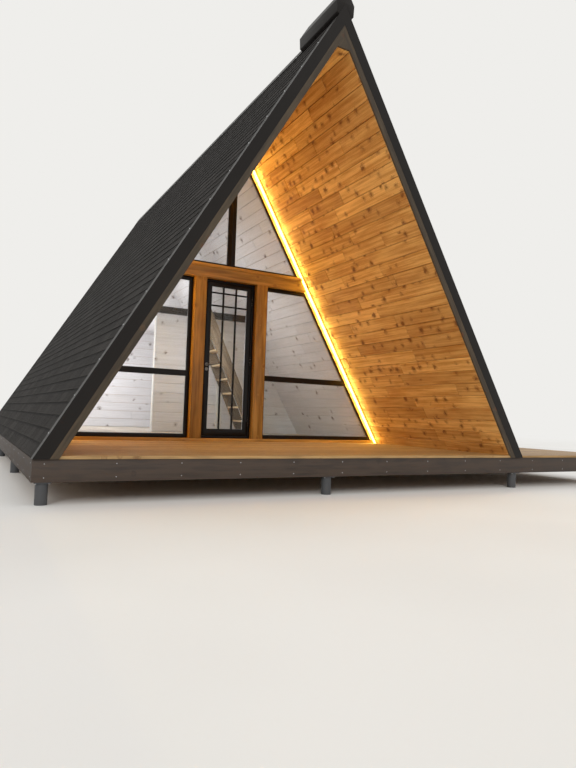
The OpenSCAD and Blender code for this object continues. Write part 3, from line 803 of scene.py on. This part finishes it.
def dress(node, material):
    """Gives a CAD node its material."""
    mesh = NODES[node].data
    mesh.materials.clear()
    mesh.materials.append(finish(material))


# Pieces, each made by an operator


class CABIN_OT_soffits(bpy.types.Operator):
    """Lay the knotty boards under the slopes over the terrace and behind the rear wall"""

    bl_idname = "cabin.soffits"
    bl_label = "Soffit boards"

    def execute(self, context):
        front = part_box("soffit_left")[0].y
        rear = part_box("lining_left")[1].y
        pine = "knotty pine"
        for side, word in SIDES:
            slope_boards(f"soffit_boards_{word}", side, front, WINDOW_BACK, pine, f"soffit_{word}")
            slope_boards(f"rear_soffit_boards_{word}", side, WALL_REAR, rear, pine)
        return {"FINISHED"}


class CABIN_OT_linings(bpy.types.Operator):
    """Lay the whitewashed boards under the slopes inside"""

    bl_idname = "cabin.linings"
    bl_label = "Lining boards"

    def execute(self, context):
        pine = "whitewashed pine"
        for side, word in SIDES:
            slope_boards(f"lining_boards_{word}", side, WINDOW_BACK, WALL_REAR, pine, f"lining_{word}")
        return {"FINISHED"}


class CABIN_OT_apex_board(bpy.types.Operator):
    """Lay the flat boards under the apex, oiled outside and whitewashed inside"""

    bl_idname = "cabin.apex_board"
    bl_label = "Apex board"

    def execute(self, context):
        low, high = APEX_BOARD
        runs = (
            ("apex_board_terrace", low.y, WINDOW_BACK, "knotty pine", "apex_board"),
            ("apex_board_inside", WINDOW_BACK, WALL_REAR, "whitewashed pine", None),
            ("apex_board_rear", WALL_REAR, high.y, "knotty pine", None),
        )
        for name, y0, y1, material, node in runs:
            bm = new_mesh()
            # The length of the name picks the wood
            add_block(bm, (y0, low.x, low.z), (y1, high.x, high.z), len(name) / 30)
            set_grain(bm)
            bm.transform(ALONG)
            cut_to_slopes(bm, 0.2 * MM)
            piece(name, bm, material, node)
        return {"FINISHED"}


class CABIN_OT_shingles(bpy.types.Operator):
    """Lay the shingles on both slopes, course by course, over a felt underlay"""

    bl_idname = "cabin.shingles"
    bl_label = "Shingles"

    tab_t = 4 * MM
    felt_t = 2 * MM
    # How many courses a tab is high, as it runs on under the next one, and the least width of a cut tab
    courses_high = 1.55
    least_w = 20 * MM

    def execute(self, context):
        for side, word in SIDES:
            self.slope(side, f"roof_shingles_{word}", f"shingles_{word}")
        return {"FINISHED"}

    def slope(self, side, name, node):
        """One slope's shingles, laid flat from the foot up and then turned onto the slope."""
        s = sizes()
        rng = random.Random(name)
        bm = new_mesh()
        reach = (APEX_Z + SHINGLES_IN / ROOF_SIN - FOOT_Z) / ROOF_COS
        foot = -SHINGLES_IN * ROOF_TAN
        add_block(bm, (ROOF_FRONT, foot, 0.0), (ROOF_REAR, reach + foot, self.felt_t), 0.3)
        for course in range(int(reach / s.shingle_exposure) + 1):
            low = foot + course * s.shingle_exposure
            high = min(low + self.courses_high * s.shingle_exposure, reach + foot)
            x = ROOF_FRONT - s.tab_w * (0.5 if course % 2 else 0.0)
            while x < ROOF_REAR:
                a, b = max(x, ROOF_FRONT), min(x + s.tab_w - s.tab_slot, ROOF_REAR)
                if b - a > self.least_w and high > low:
                    self.tab(bm, a, b, low + rng.uniform(-2, 2) * MM, high, rng)
                x += s.tab_w
        # The material reads how many courses up a point lies
        grain = bm.verts.layers.float_vector["grain"]
        for v in bm.verts:
            v[grain] = (v.co.x, (v.co.y - foot) / s.shingle_exposure, v.co.z)
        bm.transform(slope_matrix(side, SHINGLES_IN))
        piece(name, bm, "bitumen shingle", node)

    def tab(self, bm, a, b, low, high, rng):
        """One tab: its lower edge lies on the course below, its upper edge on the felt."""
        verts = add_block(bm, (a, low, 0.0), (b, high, self.tab_t), rng.random())
        lift = SHINGLES_T - self.tab_t - rng.uniform(0.0, 1.5) * MM
        for v in verts:
            v.co.z += lift if v.co.y < (low + high) / 2 else self.felt_t


class CABIN_OT_verges(bpy.types.Operator):
    """Finish the roof's end faces: bare boards, folded trim with laps, and its screws"""

    bl_idname = "cabin.verges"
    bl_label = "Verges"

    flange_w = 120 * MM
    screws_in = 95 * MM
    trim_t = 3 * MM

    def execute(self, context):
        for node in ("barge_front_left", "barge_front_right", "barge_rear"):
            timber_piece(f"{node}_board", node, "weathered board", 2 * MM)
        for node in ("verge_trim_front", "verge_trim_rear"):
            dress(node, "brown coated steel")
        s = sizes()
        reach = (APEX_Z - FOOT_Z) / ROOF_COS
        flanges = ((ROOF_FRONT, ROOF_FRONT + self.flange_w), (ROOF_REAR - self.flange_w, ROOF_REAR))
        laps = [(a, b, up, up + s.lap_w) for up in (s.sheet_l, 2 * s.sheet_l) for a, b in flanges]
        lines = (ROOF_FRONT + self.screws_in, ROOF_REAR - self.screws_in)
        heads = [(y, up) for y in lines for up in span(0.15, reach - 0.25, 0.4)]
        out = SHINGLES_IN + SHINGLES_T + self.trim_t
        for side, word in SIDES:
            sheet_laps(f"verge_laps_{word}", side, out, laps)
        for side, word in SIDES:
            sheet_screws(f"verge_screws_{word}", side, out, heads)
        return {"FINISHED"}


class CABIN_OT_ridge(bpy.types.Operator):
    """Finish the ridge: the folded cap and the raised hood over its front end"""

    bl_idname = "cabin.ridge"
    bl_label = "Ridge"

    screws_in = 20 * MM

    def execute(self, context):
        dress("ridge_cap", "brown coated steel")
        bm = node_copy("ridge_hood")
        chamfer(bm, sharp_edges(bm, 15.0), 4 * MM, 2)
        piece("ridge_hood_sheet", bm, "brown coated steel", "ridge_hood", smooth=True)
        s = sizes()
        low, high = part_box("ridge_cap")
        out = (high.z - APEX_Z) * ROOF_SIN
        # Where the cap's upper face ends below and at the ridge, measured up the slope from its foot
        foot, top = ((z - FOOT_Z) / ROOF_COS - out * ROOF_TAN for z in (low.z, high.z))
        laps = [(y, y + s.lap_w, foot, top - 4 * MM) for y in span(low.y, high.y, s.sheet_l)[1:-1]]
        hood_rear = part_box("ridge_hood")[1].y
        heads = [(y, foot + self.screws_in) for y in span(hood_rear + 0.15, high.y - 0.15, 0.5)]
        for side, word in SIDES:
            sheet_laps(f"ridge_laps_{word}", side, out, laps)
            sheet_screws(f"ridge_screws_{word}", side, out, heads)
        return {"FINISHED"}


class CABIN_OT_decks(bpy.types.Operator):
    """Lay the deck boards with their screws, and the boards that face the platform"""

    bl_idname = "cabin.decks"
    bl_label = "Decks"

    # Screws start this far from a board's end, and are about this far apart
    end_in, screw_step = 0.1, 0.6
    # In a deck board they lie this far from its edges and this deep, and no board is narrower than least_w
    edge_in = 25 * MM
    sunk = 1.5 * MM
    least_w = 30 * MM

    def execute(self, context):
        self.deck("deck", "deck_boards", "deck_screws")
        self.deck("side_deck", "side_deck_boards", "side_deck_screws")
        for node in ("front_fascia", "side_fascia"):
            timber_piece(f"{node}_boards", node, "dark stained board", 2 * MM)
        self.facing_screws()
        return {"FINISHED"}

    def deck(self, node, name, screws):
        """A deck's boards across the cabin, cut to the slope beside them, with pairs of screws."""
        s = sizes()
        low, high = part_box(node)
        rng = random.Random(name)
        bm = new_mesh()
        points = []
        y = low.y
        while y < high.y - self.least_w:
            back = min(y + s.deck_board_w, high.y)
            add_block(bm, (low.x, y, low.z), (high.x, back, high.z), rng.random())
            for x in span(low.x + self.end_in, high.x - self.end_in, self.screw_step):
                points += [(x, at, high.z - self.sunk) for at in (y + self.edge_in, back - self.edge_in)]
            y += s.deck_board_w + s.deck_gap
        if node == "deck":
            cut_to_slopes(bm)
            points = [p for p in points if abs(p[0]) < half_w(high.z) - 20 * MM]
        else:
            edge = Vector((low.x + (high.z - low.z) * ROOF_TAN, 0.0, low.z))
            cut(bm, edge, Vector((-ROOF_COS, 0.0, -ROOF_SIN)))
        chamfer(bm, edges_at(bm, 2, high.z), 3 * MM, 2)
        set_grain(bm)
        piece(name, bm, "decking board", node)
        heads = new_mesh()
        add_screws(heads, points, radius=4.5 * MM, sides=6)
        piece(screws, heads, "brushed steel", smooth=True)

    def facing_screws(self):
        """Pairs of screws along the facing boards, into the ends of the floor frame's timbers."""
        heads = new_mesh()
        for node in ("front_fascia", "side_fascia"):
            bm = node_copy(node)
            for group in islands(bm):
                low, high = (Vector([pick(v.co[i] for v in group) for i in range(3)]) for pick in (min, max))
                thin = 0 if high.x - low.x < high.y - low.y else 1
                # The left and the front boards face that way, and all others to the right or the rear
                outwards = -1 if (low.x < 0, low.y < ROOF_FRONT + 0.2)[thin] else 1
                normal = [0, 0, 0]
                normal[thin] = outwards
                points = []
                for along in span(low[1 - thin] + self.end_in, high[1 - thin] - self.end_in, self.screw_step):
                    for z in (low.z + 0.04, high.z - 0.04):
                        points.append([along, along, z])
                        points[-1][thin] = (low if outwards < 0 else high)[thin]
                add_screws(heads, points, normal)
            bm.free()
        piece("facing_screws", heads, "brushed steel", smooth=True)


class CABIN_OT_underframe(bpy.types.Operator):
    """Finish the piles, the cross beams, the joists and the rafters"""

    bl_idname = "cabin.underframe"
    bl_label = "Underframe"

    # The head plates' thickness, the bolts' distance from a pile's middle, the washers and the weld
    plate_t, bolt_out, washer_t, weld = 8 * MM, 57 * MM, 2 * MM, 6 * MM

    def execute(self, context):
        dress("piles", "primed steel")
        self.bolts()
        timber_piece("cross_beam_timbers", "cross_beams", "sawn softwood", 3 * MM)
        timber_piece("joist_timbers", "joists", "sawn softwood", 3 * MM)
        for _, word in SIDES:
            timber_piece(f"rafters_{word}", f"roof_{word}", "sawn softwood", 0.0)
        return {"FINISHED"}

    def bolts(self):
        """Four bolts with washers up through each pile's head plate, and the weld under it."""
        down = (0, 0, -1)
        bolts, welds = new_mesh(), new_mesh()
        bm = node_copy("piles")
        for group in islands(bm):
            x, y = (sum(v.co[i] for v in group) / len(group) for i in (0, 1))
            under = max(v.co.z for v in group) - self.plate_t
            tube = min(group, key=lambda v: v.co.z).co
            radius = math.hypot(tube.x - x, tube.y - y)
            corners = [(x + i * self.bolt_out, y + j * self.bolt_out) for i in (-1, 1) for j in (-1, 1)]
            add_screws(bolts, [(*c, under) for c in corners], down, 9.5 * MM, self.washer_t, 16)
            add_screws(bolts, [(*c, under - self.washer_t) for c in corners], down, 9 * MM, 7 * MM, 6)
            bmesh.ops.create_cone(
                welds, cap_ends=True, segments=32, radius1=radius + 0.5 * MM, radius2=radius + self.weld,
                depth=self.weld, matrix=Matrix.Translation((x, y, under - self.weld / 2)),
            )
        bm.free()
        piece("pile_bolts", bolts, "brushed steel", smooth=True)
        piece("pile_welds", welds, "primed steel", smooth=True)


class CABIN_OT_front_frame(bpy.types.Operator):
    """Finish the posts, the tie beam and the sill of the front wall"""

    bl_idname = "cabin.front_frame"
    bl_label = "Front timbers"

    def execute(self, context):
        for node in ("post_left", "post_right", "tie_beam", "sill"):
            timber_piece(f"{node}_timber", node, "stained pine", 4 * MM)
        return {"FINISHED"}


class CABIN_OT_windows(bpy.types.Operator):
    """Finish the fixed windows: frames, beads, gaskets and double panes"""

    bl_idname = "cabin.windows"
    bl_label = "Windows"

    def execute(self, context):
        for node in ("window_left", "window_right", "upper_window_left", "upper_window_right", "rear_window"):
            section_piece(node)
        for word in ("lower", "upper", "rear"):
            glaze(f"{word}_glass", word)
        return {"FINISHED"}


class CABIN_OT_door(bpy.types.Operator):
    """Finish the door: frame, leaf, glazing bars, panes, hinges and handle"""

    bl_idname = "cabin.door"
    bl_label = "Door"

    # Middles of the bars, as the door is seen from outside
    upright_bars = (-99 * MM, 113 * MM)
    level_bars = (2.506, 2.705)
    bar_t = 8 * MM
    # The outer hinges' distance from the leaf's ends, the pins' from its edge and face, and their length
    hinge_in, pin_in, pin_l = 0.23, 8 * MM, 126 * MM

    def execute(self, context):
        section_piece("door_frame")
        section_piece("door_leaf", DOOR)
        glaze("door_glass", "door", DOOR)
        self.seal()
        self.bars()
        self.handle()
        self.pins()
        return {"FINISHED"}

    def seal(self):
        """The frame's stop behind the leaf's edges, with a rubber seal between them."""
        leaf_rear, frame_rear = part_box("door_leaf")[1].y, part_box("door_frame")[1].y
        stop_front = leaf_rear + 5 * MM
        corners = rectangle("door_leaf", 8 * MM)
        stop, seal = new_mesh(), new_mesh()
        add_sheet(stop, corners, stop_front, frame_rear, 0.1 * MM, 22 * MM)
        chamfer(stop, sharp_edges(stop), 1 * MM)
        add_sheet(seal, corners, leaf_rear + 0.5 * MM, stop_front, 4 * MM, 12 * MM)
        piece("door_stop", stop, "black frame coat")
        piece("door_seal", seal, "black rubber")

    def bars(self):
        """Bars on both faces of the pane, notched into one grille on each face."""
        w = sizes().bar_w
        low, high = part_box("door_glass")
        bm = new_mesh()
        ends = [low.x, *(x + k * w / 2 for x in self.upright_bars for k in (-1, 1)), high.x]
        for y0, y1 in ((low.y - self.bar_t, low.y), (high.y, high.y + self.bar_t)):
            for x in self.upright_bars:
                add_block(bm, (x - w / 2, y0, low.z), (x + w / 2, y1, high.z))
            for z in self.level_bars:
                for a, b in zip(ends[::2], ends[1::2]):
                    add_block(bm, (a, y0, z - w / 2), (b, y1, z + w / 2))
        chamfer(bm, sharp_edges(bm), 1.5 * MM)
        piece("door_bars", bm, "black frame coat", body=DOOR)

    def handle(self):
        """The lever and its plates, with their square rims rounded."""
        bm = node_copy("door_handle")
        rims = [e for e in sharp_edges(bm, 60.0) if e.calc_face_angle(0.0) < math.radians(100.0)]
        chamfer(bm, rims, 1.5 * MM, 2)
        piece("door_lever", bm, "satin nickel", "door_handle", DOOR, smooth=True)

    def pins(self):
        """A pin through each hinge's knuckles."""
        low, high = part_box("door_leaf")
        bm = new_mesh()
        for z in (low.z + self.hinge_in, (low.z + high.z) / 2, high.z - self.hinge_in):
            bmesh.ops.create_cone(
                bm, cap_ends=True, segments=16, radius1=4.5 * MM, radius2=4.5 * MM, depth=self.pin_l,
                matrix=Matrix.Translation((high.x - self.pin_in, low.y + self.pin_in, z)),
            )
        piece("door_hinge_pins", bm, "brushed steel", smooth=True)


class CABIN_OT_lights(bpy.types.Operator):
    """Fit the warm light strips: a channel and an opal cover along each slope"""

    bl_idname = "cabin.lights"
    bl_label = "Light strips"

    base_t = 5 * MM

    def execute(self, context):
        low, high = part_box("light_strips")
        feet = [v.co for v in NODES["light_strips"].data.vertices if abs(v.co.z - low.z) < 1 * MM]
        thick = (half_w(low.z) - min(abs(co.x) for co in feet)) * ROOF_COS
        reach = (high.z - low.z) / ROOF_COS
        up = (low.z - FOOT_Z) / ROOF_COS
        parts = (
            ("light_covers", "light cover", "light_strips", self.base_t, thick, 5 * MM),
            ("light_channels", "brushed steel", None, 0.2 * MM, self.base_t, 0.0),
        )
        for name, material, node, near, far, radius in parts:
            bm = new_mesh()
            for side, _ in SIDES:
                verts = add_block(bm, (low.y, up, -far), (high.y, up + reach, -near))
                bmesh.ops.transform(bm, matrix=slope_matrix(side), verts=verts)
            for z, normal in ((low.z, (0, 0, -1)), (high.z, (0, 0, 1))):
                cut(bm, Vector((0.0, 0.0, z)), Vector(normal))
            chamfer(bm, [e for e in sharp_edges(bm) if e.calc_length() > 1.0], radius, 3)
            made = piece(name, bm, material, node, smooth=True)
            # The panes beside it would else mirror the strip as a bright line
            made.visible_glossy = False
        return {"FINISHED"}


class CABIN_OT_rear_wall(bpy.types.Operator):
    """Board the rear wall, with oiled boards outside, whitewashed boards inside and a casing"""

    bl_idname = "cabin.rear_wall"
    bl_label = "Rear wall"

    board_l = 2.4
    casing_t = 20 * MM

    def execute(self, context):
        dress("rear_wall", "sawn softwood")
        t, w = sizes().wall_board_t, sizes().casing_w
        self.boards("rear_cladding", WALL_REAR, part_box("rear_wall")[0].z, t, "knotty pine")
        self.boards("rear_wall_lining", ROOM_REAR - t, FLOOR_Z, 0.0, "whitewashed pine")
        bm = new_mesh()
        front = WALL_REAR + t
        add_sheet(bm, rectangle("rear_window", w), front, front + self.casing_t, 0.0, w)
        chamfer(bm, sharp_edges(bm), 3 * MM, 2)
        set_grain(bm)
        piece("rear_window_casing", bm, "dark stained board")
        return {"FINISHED"}

    def boards(self, name, y, foot, face, material):
        """Level boards across the wall from the plane at Y on, cut to the slopes and round the window."""
        low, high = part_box("rear_window")
        box = (-half_w(foot), half_w(foot), foot, APEX_BOARD[0].z, 0.0, sizes().wall_board_t)
        hole = (low.x, high.x, low.z, high.z)
        boarding(name, box, face, upright(y), material, board_l=self.board_l, hole=hole)


class CABIN_OT_floor(bpy.types.Operator):
    """Lay the floorboards inside and on the loft"""

    bl_idname = "cabin.floor"
    bl_label = "Floors"

    width = 130 * MM
    top_t = 18 * MM
    # Boards meet end to end over one of the joists
    joist_step = 0.6

    def execute(self, context):
        self.boards("floor", "floorboards", "floor_boards")
        self.boards("loft_floor", "loft_floorboards", "loft_boards")
        return {"FINISHED"}

    def boards(self, node, name, slot):
        """Boards along the cabin on a sawn core, in the space of a CAD node."""
        low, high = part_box(node)
        rng = random.Random(name)
        bm, core = new_mesh(), new_mesh()
        under = high.z - self.top_t
        add_block(core, (low.y, low.x, low.z), (high.y, high.x, under - 0.2 * MM), 0.5)
        joists = [low.y + self.joist_step * k for k in range(1, 5)]
        x = low.x
        while x < high.x:
            edge = min(x + self.width, high.x) - 0.6 * MM
            ends = sorted({low.y, high.y, *rng.sample(joists, 1)})
            for a, b in zip(ends, ends[1:]):
                add_block(bm, (a, x, under), (b, edge, high.z), rng.random())
            x += self.width
        chamfer(bm, edges_at(bm, 2, high.z), 1.2 * MM)
        for each in (bm, core):
            set_grain(each)
            each.transform(ALONG)
            cut_to_slopes(each)
        piece(name, bm, "floorboard", node)
        piece(f"{node}_core", core, "sawn softwood")


class CABIN_OT_loft(bpy.types.Operator):
    """Finish the loft's edge beam and board its underside"""

    bl_idname = "cabin.loft"
    bl_label = "Loft"

    board_t = 12 * MM

    def execute(self, context):
        timber_piece("loft_edge_beam", "loft_beam", "dark stained beam", 4 * MM)
        low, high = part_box("loft_floor")
        box = (low.y, high.y, low.x, high.x, -self.board_t, 0.0)
        turn = Matrix.Translation((0.0, 0.0, low.z)) @ ALONG
        boarding("loft_ceiling_boards", box, -self.board_t, turn, "whitewashed pine", wood="loft_ceiling")
        return {"FINISHED"}


class CABIN_OT_stair(bpy.types.Operator):
    """Finish the stair's stringers and treads"""

    bl_idname = "cabin.stair"
    bl_label = "Stair"

    def execute(self, context):
        timber_piece("stair_stringer_boards", "stair_stringers", "stringer timber", 4 * MM)
        timber_piece("stair_tread_boards", "stair_treads", "tread timber", 4 * MM)
        return {"FINISHED"}


class CABIN_OT_partition(bpy.types.Operator):
    """Board the wall under the loft, with a flat upright casing"""

    bl_idname = "cabin.partition"
    bl_label = "Wall under the loft"

    board_t = 12 * MM
    board_l = 9.0
    casing_x = (0.88, 1.0)
    casing_t = 22 * MM
    casing_h = 2.05

    def execute(self, context):
        dress("partition", "plain white paint")
        t = self.board_t
        low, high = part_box("partition")
        box = (low.x, high.x, low.z, high.z, 0.0, t)
        for word, y, face in (("front", low.y - t, 0.0), ("back", high.y, t)):
            name = f"partition_boards_{word}"
            boarding(name, box, face, upright(y), "whitewashed pine", board_l=self.board_l)
        bm = new_mesh()
        front = low.y - t
        x0, x1 = self.casing_x
        add_block(bm, (x0, front - self.casing_t, low.z), (x1, front, low.z + self.casing_h), 0.4)
        chamfer(bm, sharp_edges(bm), 3 * MM, 2)
        set_grain(bm)
        piece("partition_casing", bm, "plain white paint")
        return {"FINISHED"}


class CABIN_OT_stage(bpy.types.Operator):
    """Set the pale floor, the soft lamps, the world and the camera"""

    bl_idname = "cabin.stage"
    bl_label = "Stage"

    backdrop = "EFEEEB"
    # The camera, solved from the edges of the cabin in a frame of 576 by 768 pixels
    place = (-3.580, -8.460, 0.842)
    yaw, pitch, roll = math.radians(28.57), math.radians(3.09), math.radians(-1.99)
    lens = 28.04

    def execute(self, context):
        scene = context.scene
        scene.view_settings.view_transform = "Standard"
        self.floor()
        self.world(scene)
        # An even light from the front left, as from a wide window, and a weak one from the rear right
        self.sun("key", 0.95, (9.0, 13.0, -7.5))
        self.sun("fill", 0.4, (-10.0, -5.0, -8.0))
        self.globe("room", (0.1, 1.3, 2.0), 35.0)
        self.globe("gable", (0.0, 1.7, 3.5), 7.0)
        self.globe("over_loft", (-0.1, 4.6, 3.2), 32.0)
        self.globe("under_loft", (-1.1, 3.9, 1.7), 84.0)
        for side, _ in SIDES:
            # One lamp shines forwards and across the terrace, one lights the boards behind the strip
            self.strip_lamp(f"strip_{side}", side, -60 * MM, 45 * MM, (-0.45, -1.0), 34.0)
            self.strip_lamp(f"glow_{side}", side, 50 * MM, 32 * MM, (1.0, 0.0), 18.0)
        self.camera(scene)
        return {"FINISHED"}

    def floor(self):
        """A round floor that runs into the backdrop far out, as on a studio's curved sheet."""
        bm = bmesh.new()
        bmesh.ops.create_circle(bm, cap_ends=True, segments=96, radius=70.0)
        mesh = bpy.data.meshes.new("stage_floor")
        bm.to_mesh(mesh)
        bm.free()
        material, tree = new_material("stage floor")
        place = object_place(tree)
        tone = ramp(tree, noise(tree, place, 0.5), (0.3, "stage_floor"), (0.7, "EEECE8"))
        matt = add(tree, "BsdfPrincipled", None, {"Base Color": tone, "Roughness": 0.9})
        away = remap(tree, vector_calc(tree, "LENGTH", place)["Value"], 14.0, 38.0, 0.0, 1.0, True)
        share = calc(tree, "MULTIPLY", away, seen_rays(tree))
        pale = add(tree, "Emission", None, {"Color": shade(self.backdrop), "Strength": 1.0})
        close(tree, mix_shaders(tree, share, matt, pale))
        mesh.materials.append(material)
        made = link("stage_floor", mesh)

    def world(self, scene):
        """A soft even light, behind which camera, mirror and glass rays see a pale backdrop."""
        world = bpy.data.worlds.new("studio")
        scene.world = world
        world.use_nodes = True
        tree = world.node_tree
        tree.nodes.clear()
        soft = add(tree, "Background", None, {"Color": shade("FFFFFF"), "Strength": 0.75})
        pale = add(tree, "Background", None, {"Color": shade(self.backdrop), "Strength": 1.0})
        mixed = mix_shaders(tree, seen_rays(tree), soft, pale)
        add(tree, "OutputWorld", None, {"Surface": mixed.outputs[0]})

    def lamp(self, name, kind, power, settings, code="FFFFFF"):
        """A lamp. One among the pieces isn't seen itself, nor in a mirror or through glass."""
        data = bpy.data.lights.new(name, kind)
        data.energy = power
        data.color = linear(code)[:3]
        for key, value in settings.items():
            setattr(data, key, value)
        made = link(name, data)
        if kind != "SUN":
            made.visible_camera = made.visible_glossy = made.visible_transmission = False
        return made

    def sun(self, name, power, direction):
        """A light that falls along one direction, soft enough for a blurred shadow."""
        made = self.lamp(name, "SUN", power, {"angle": math.radians(20.0)})
        made.rotation_euler = Vector(direction).to_track_quat("-Z", "Y").to_euler()

    def globe(self, name, place, power):
        """A soft lamp that shines all round, for the rooms."""
        self.lamp(name, "POINT", power, {"shadow_soft_size": 0.25}, "F8F9FF").location = place

    def strip_lamp(self, name, side, y, off, aim, power):
        """A long warm lamp beside a light strip, off the boards, aimed outward and along the cabin."""
        z0, z1 = DECK_Z, APEX_BOARD[0].z - 0.35
        shape = {"shape": "RECTANGLE", "size": 40 * MM, "size_y": (z1 - z0) / ROOF_COS}
        made = self.lamp(name, "AREA", power, shape, "FFE388")
        made.location = (side * half_w((z0 + z1) / 2, -off), y, (z0 + z1) / 2)
        # Turned about its own axis so that its long side runs up the slope
        outward, along = aim
        look = Vector((outward * side * ROOF_COS, along, outward * ROOF_SIN)).normalized()
        up = Vector((-side * ROOF_SIN, 0.0, ROOF_COS))
        made.rotation_euler = Matrix((up.cross(-look), up, -look)).transposed().to_euler()

    def camera(self, scene):
        """The camera at the photograph's angle: its yaw and pitch first, and then its roll."""
        level = math.cos(self.pitch)
        forward = Vector((math.sin(self.yaw) * level, math.cos(self.yaw) * level, math.sin(self.pitch)))
        right = Vector((math.cos(self.yaw), -math.sin(self.yaw), 0.0))
        down = forward.cross(right)
        c, s = math.cos(self.roll), math.sin(self.roll)
        turn = Matrix((c * right + s * down, s * right - c * down, -forward)).transposed().to_4x4()
        data = bpy.data.cameras.new("camera")
        data.lens = self.lens
        data.sensor_width = 36.0
        data.clip_end = 300.0
        made = link("camera", data)
        made.matrix_world = Matrix.Translation(self.place) @ turn
        scene.camera = made


STEPS = (
    CABIN_OT_stage, CABIN_OT_soffits, CABIN_OT_linings, CABIN_OT_apex_board, CABIN_OT_shingles,
    CABIN_OT_verges, CABIN_OT_ridge, CABIN_OT_decks, CABIN_OT_underframe, CABIN_OT_front_frame,
    CABIN_OT_windows, CABIN_OT_door, CABIN_OT_lights, CABIN_OT_rear_wall, CABIN_OT_floor, CABIN_OT_loft,
    CABIN_OT_stair, CABIN_OT_partition,
)


class CABIN_PT_panel(bpy.types.Panel):
    """Lists the cabin's sizes, colours and pieces"""

    bl_idname = "CABIN_PT_panel"
    bl_label = "A-frame cabin"
    bl_space_type = "VIEW_3D"
    bl_region_type = "UI"
    bl_category = "Cabin"

    def draw(self, context):
        for group in (context.scene.cabin_sizes, context.scene.cabin_colours):
            column = self.layout.column()
            for name in group.__annotations__:
                column.prop(group, name)
        for step in STEPS:
            self.layout.operator(step.bl_idname)


CLASSES = (CabinSizes, CabinColours, *STEPS, CABIN_PT_panel)


def register():
    for each in CLASSES:
        bpy.utils.register_class(each)
    bpy.types.Scene.cabin_sizes = bpy.props.PointerProperty(type=CabinSizes)
    bpy.types.Scene.cabin_colours = bpy.props.PointerProperty(type=CabinColours)


def unregister():
    del bpy.types.Scene.cabin_sizes
    del bpy.types.Scene.cabin_colours
    for each in reversed(CLASSES):
        bpy.utils.unregister_class(each)


def main():
    register()
    for step in STEPS:
        group, name = step.bl_idname.split(".")
        getattr(getattr(bpy.ops, group), name)()


if __name__ == "__main__":
    main()
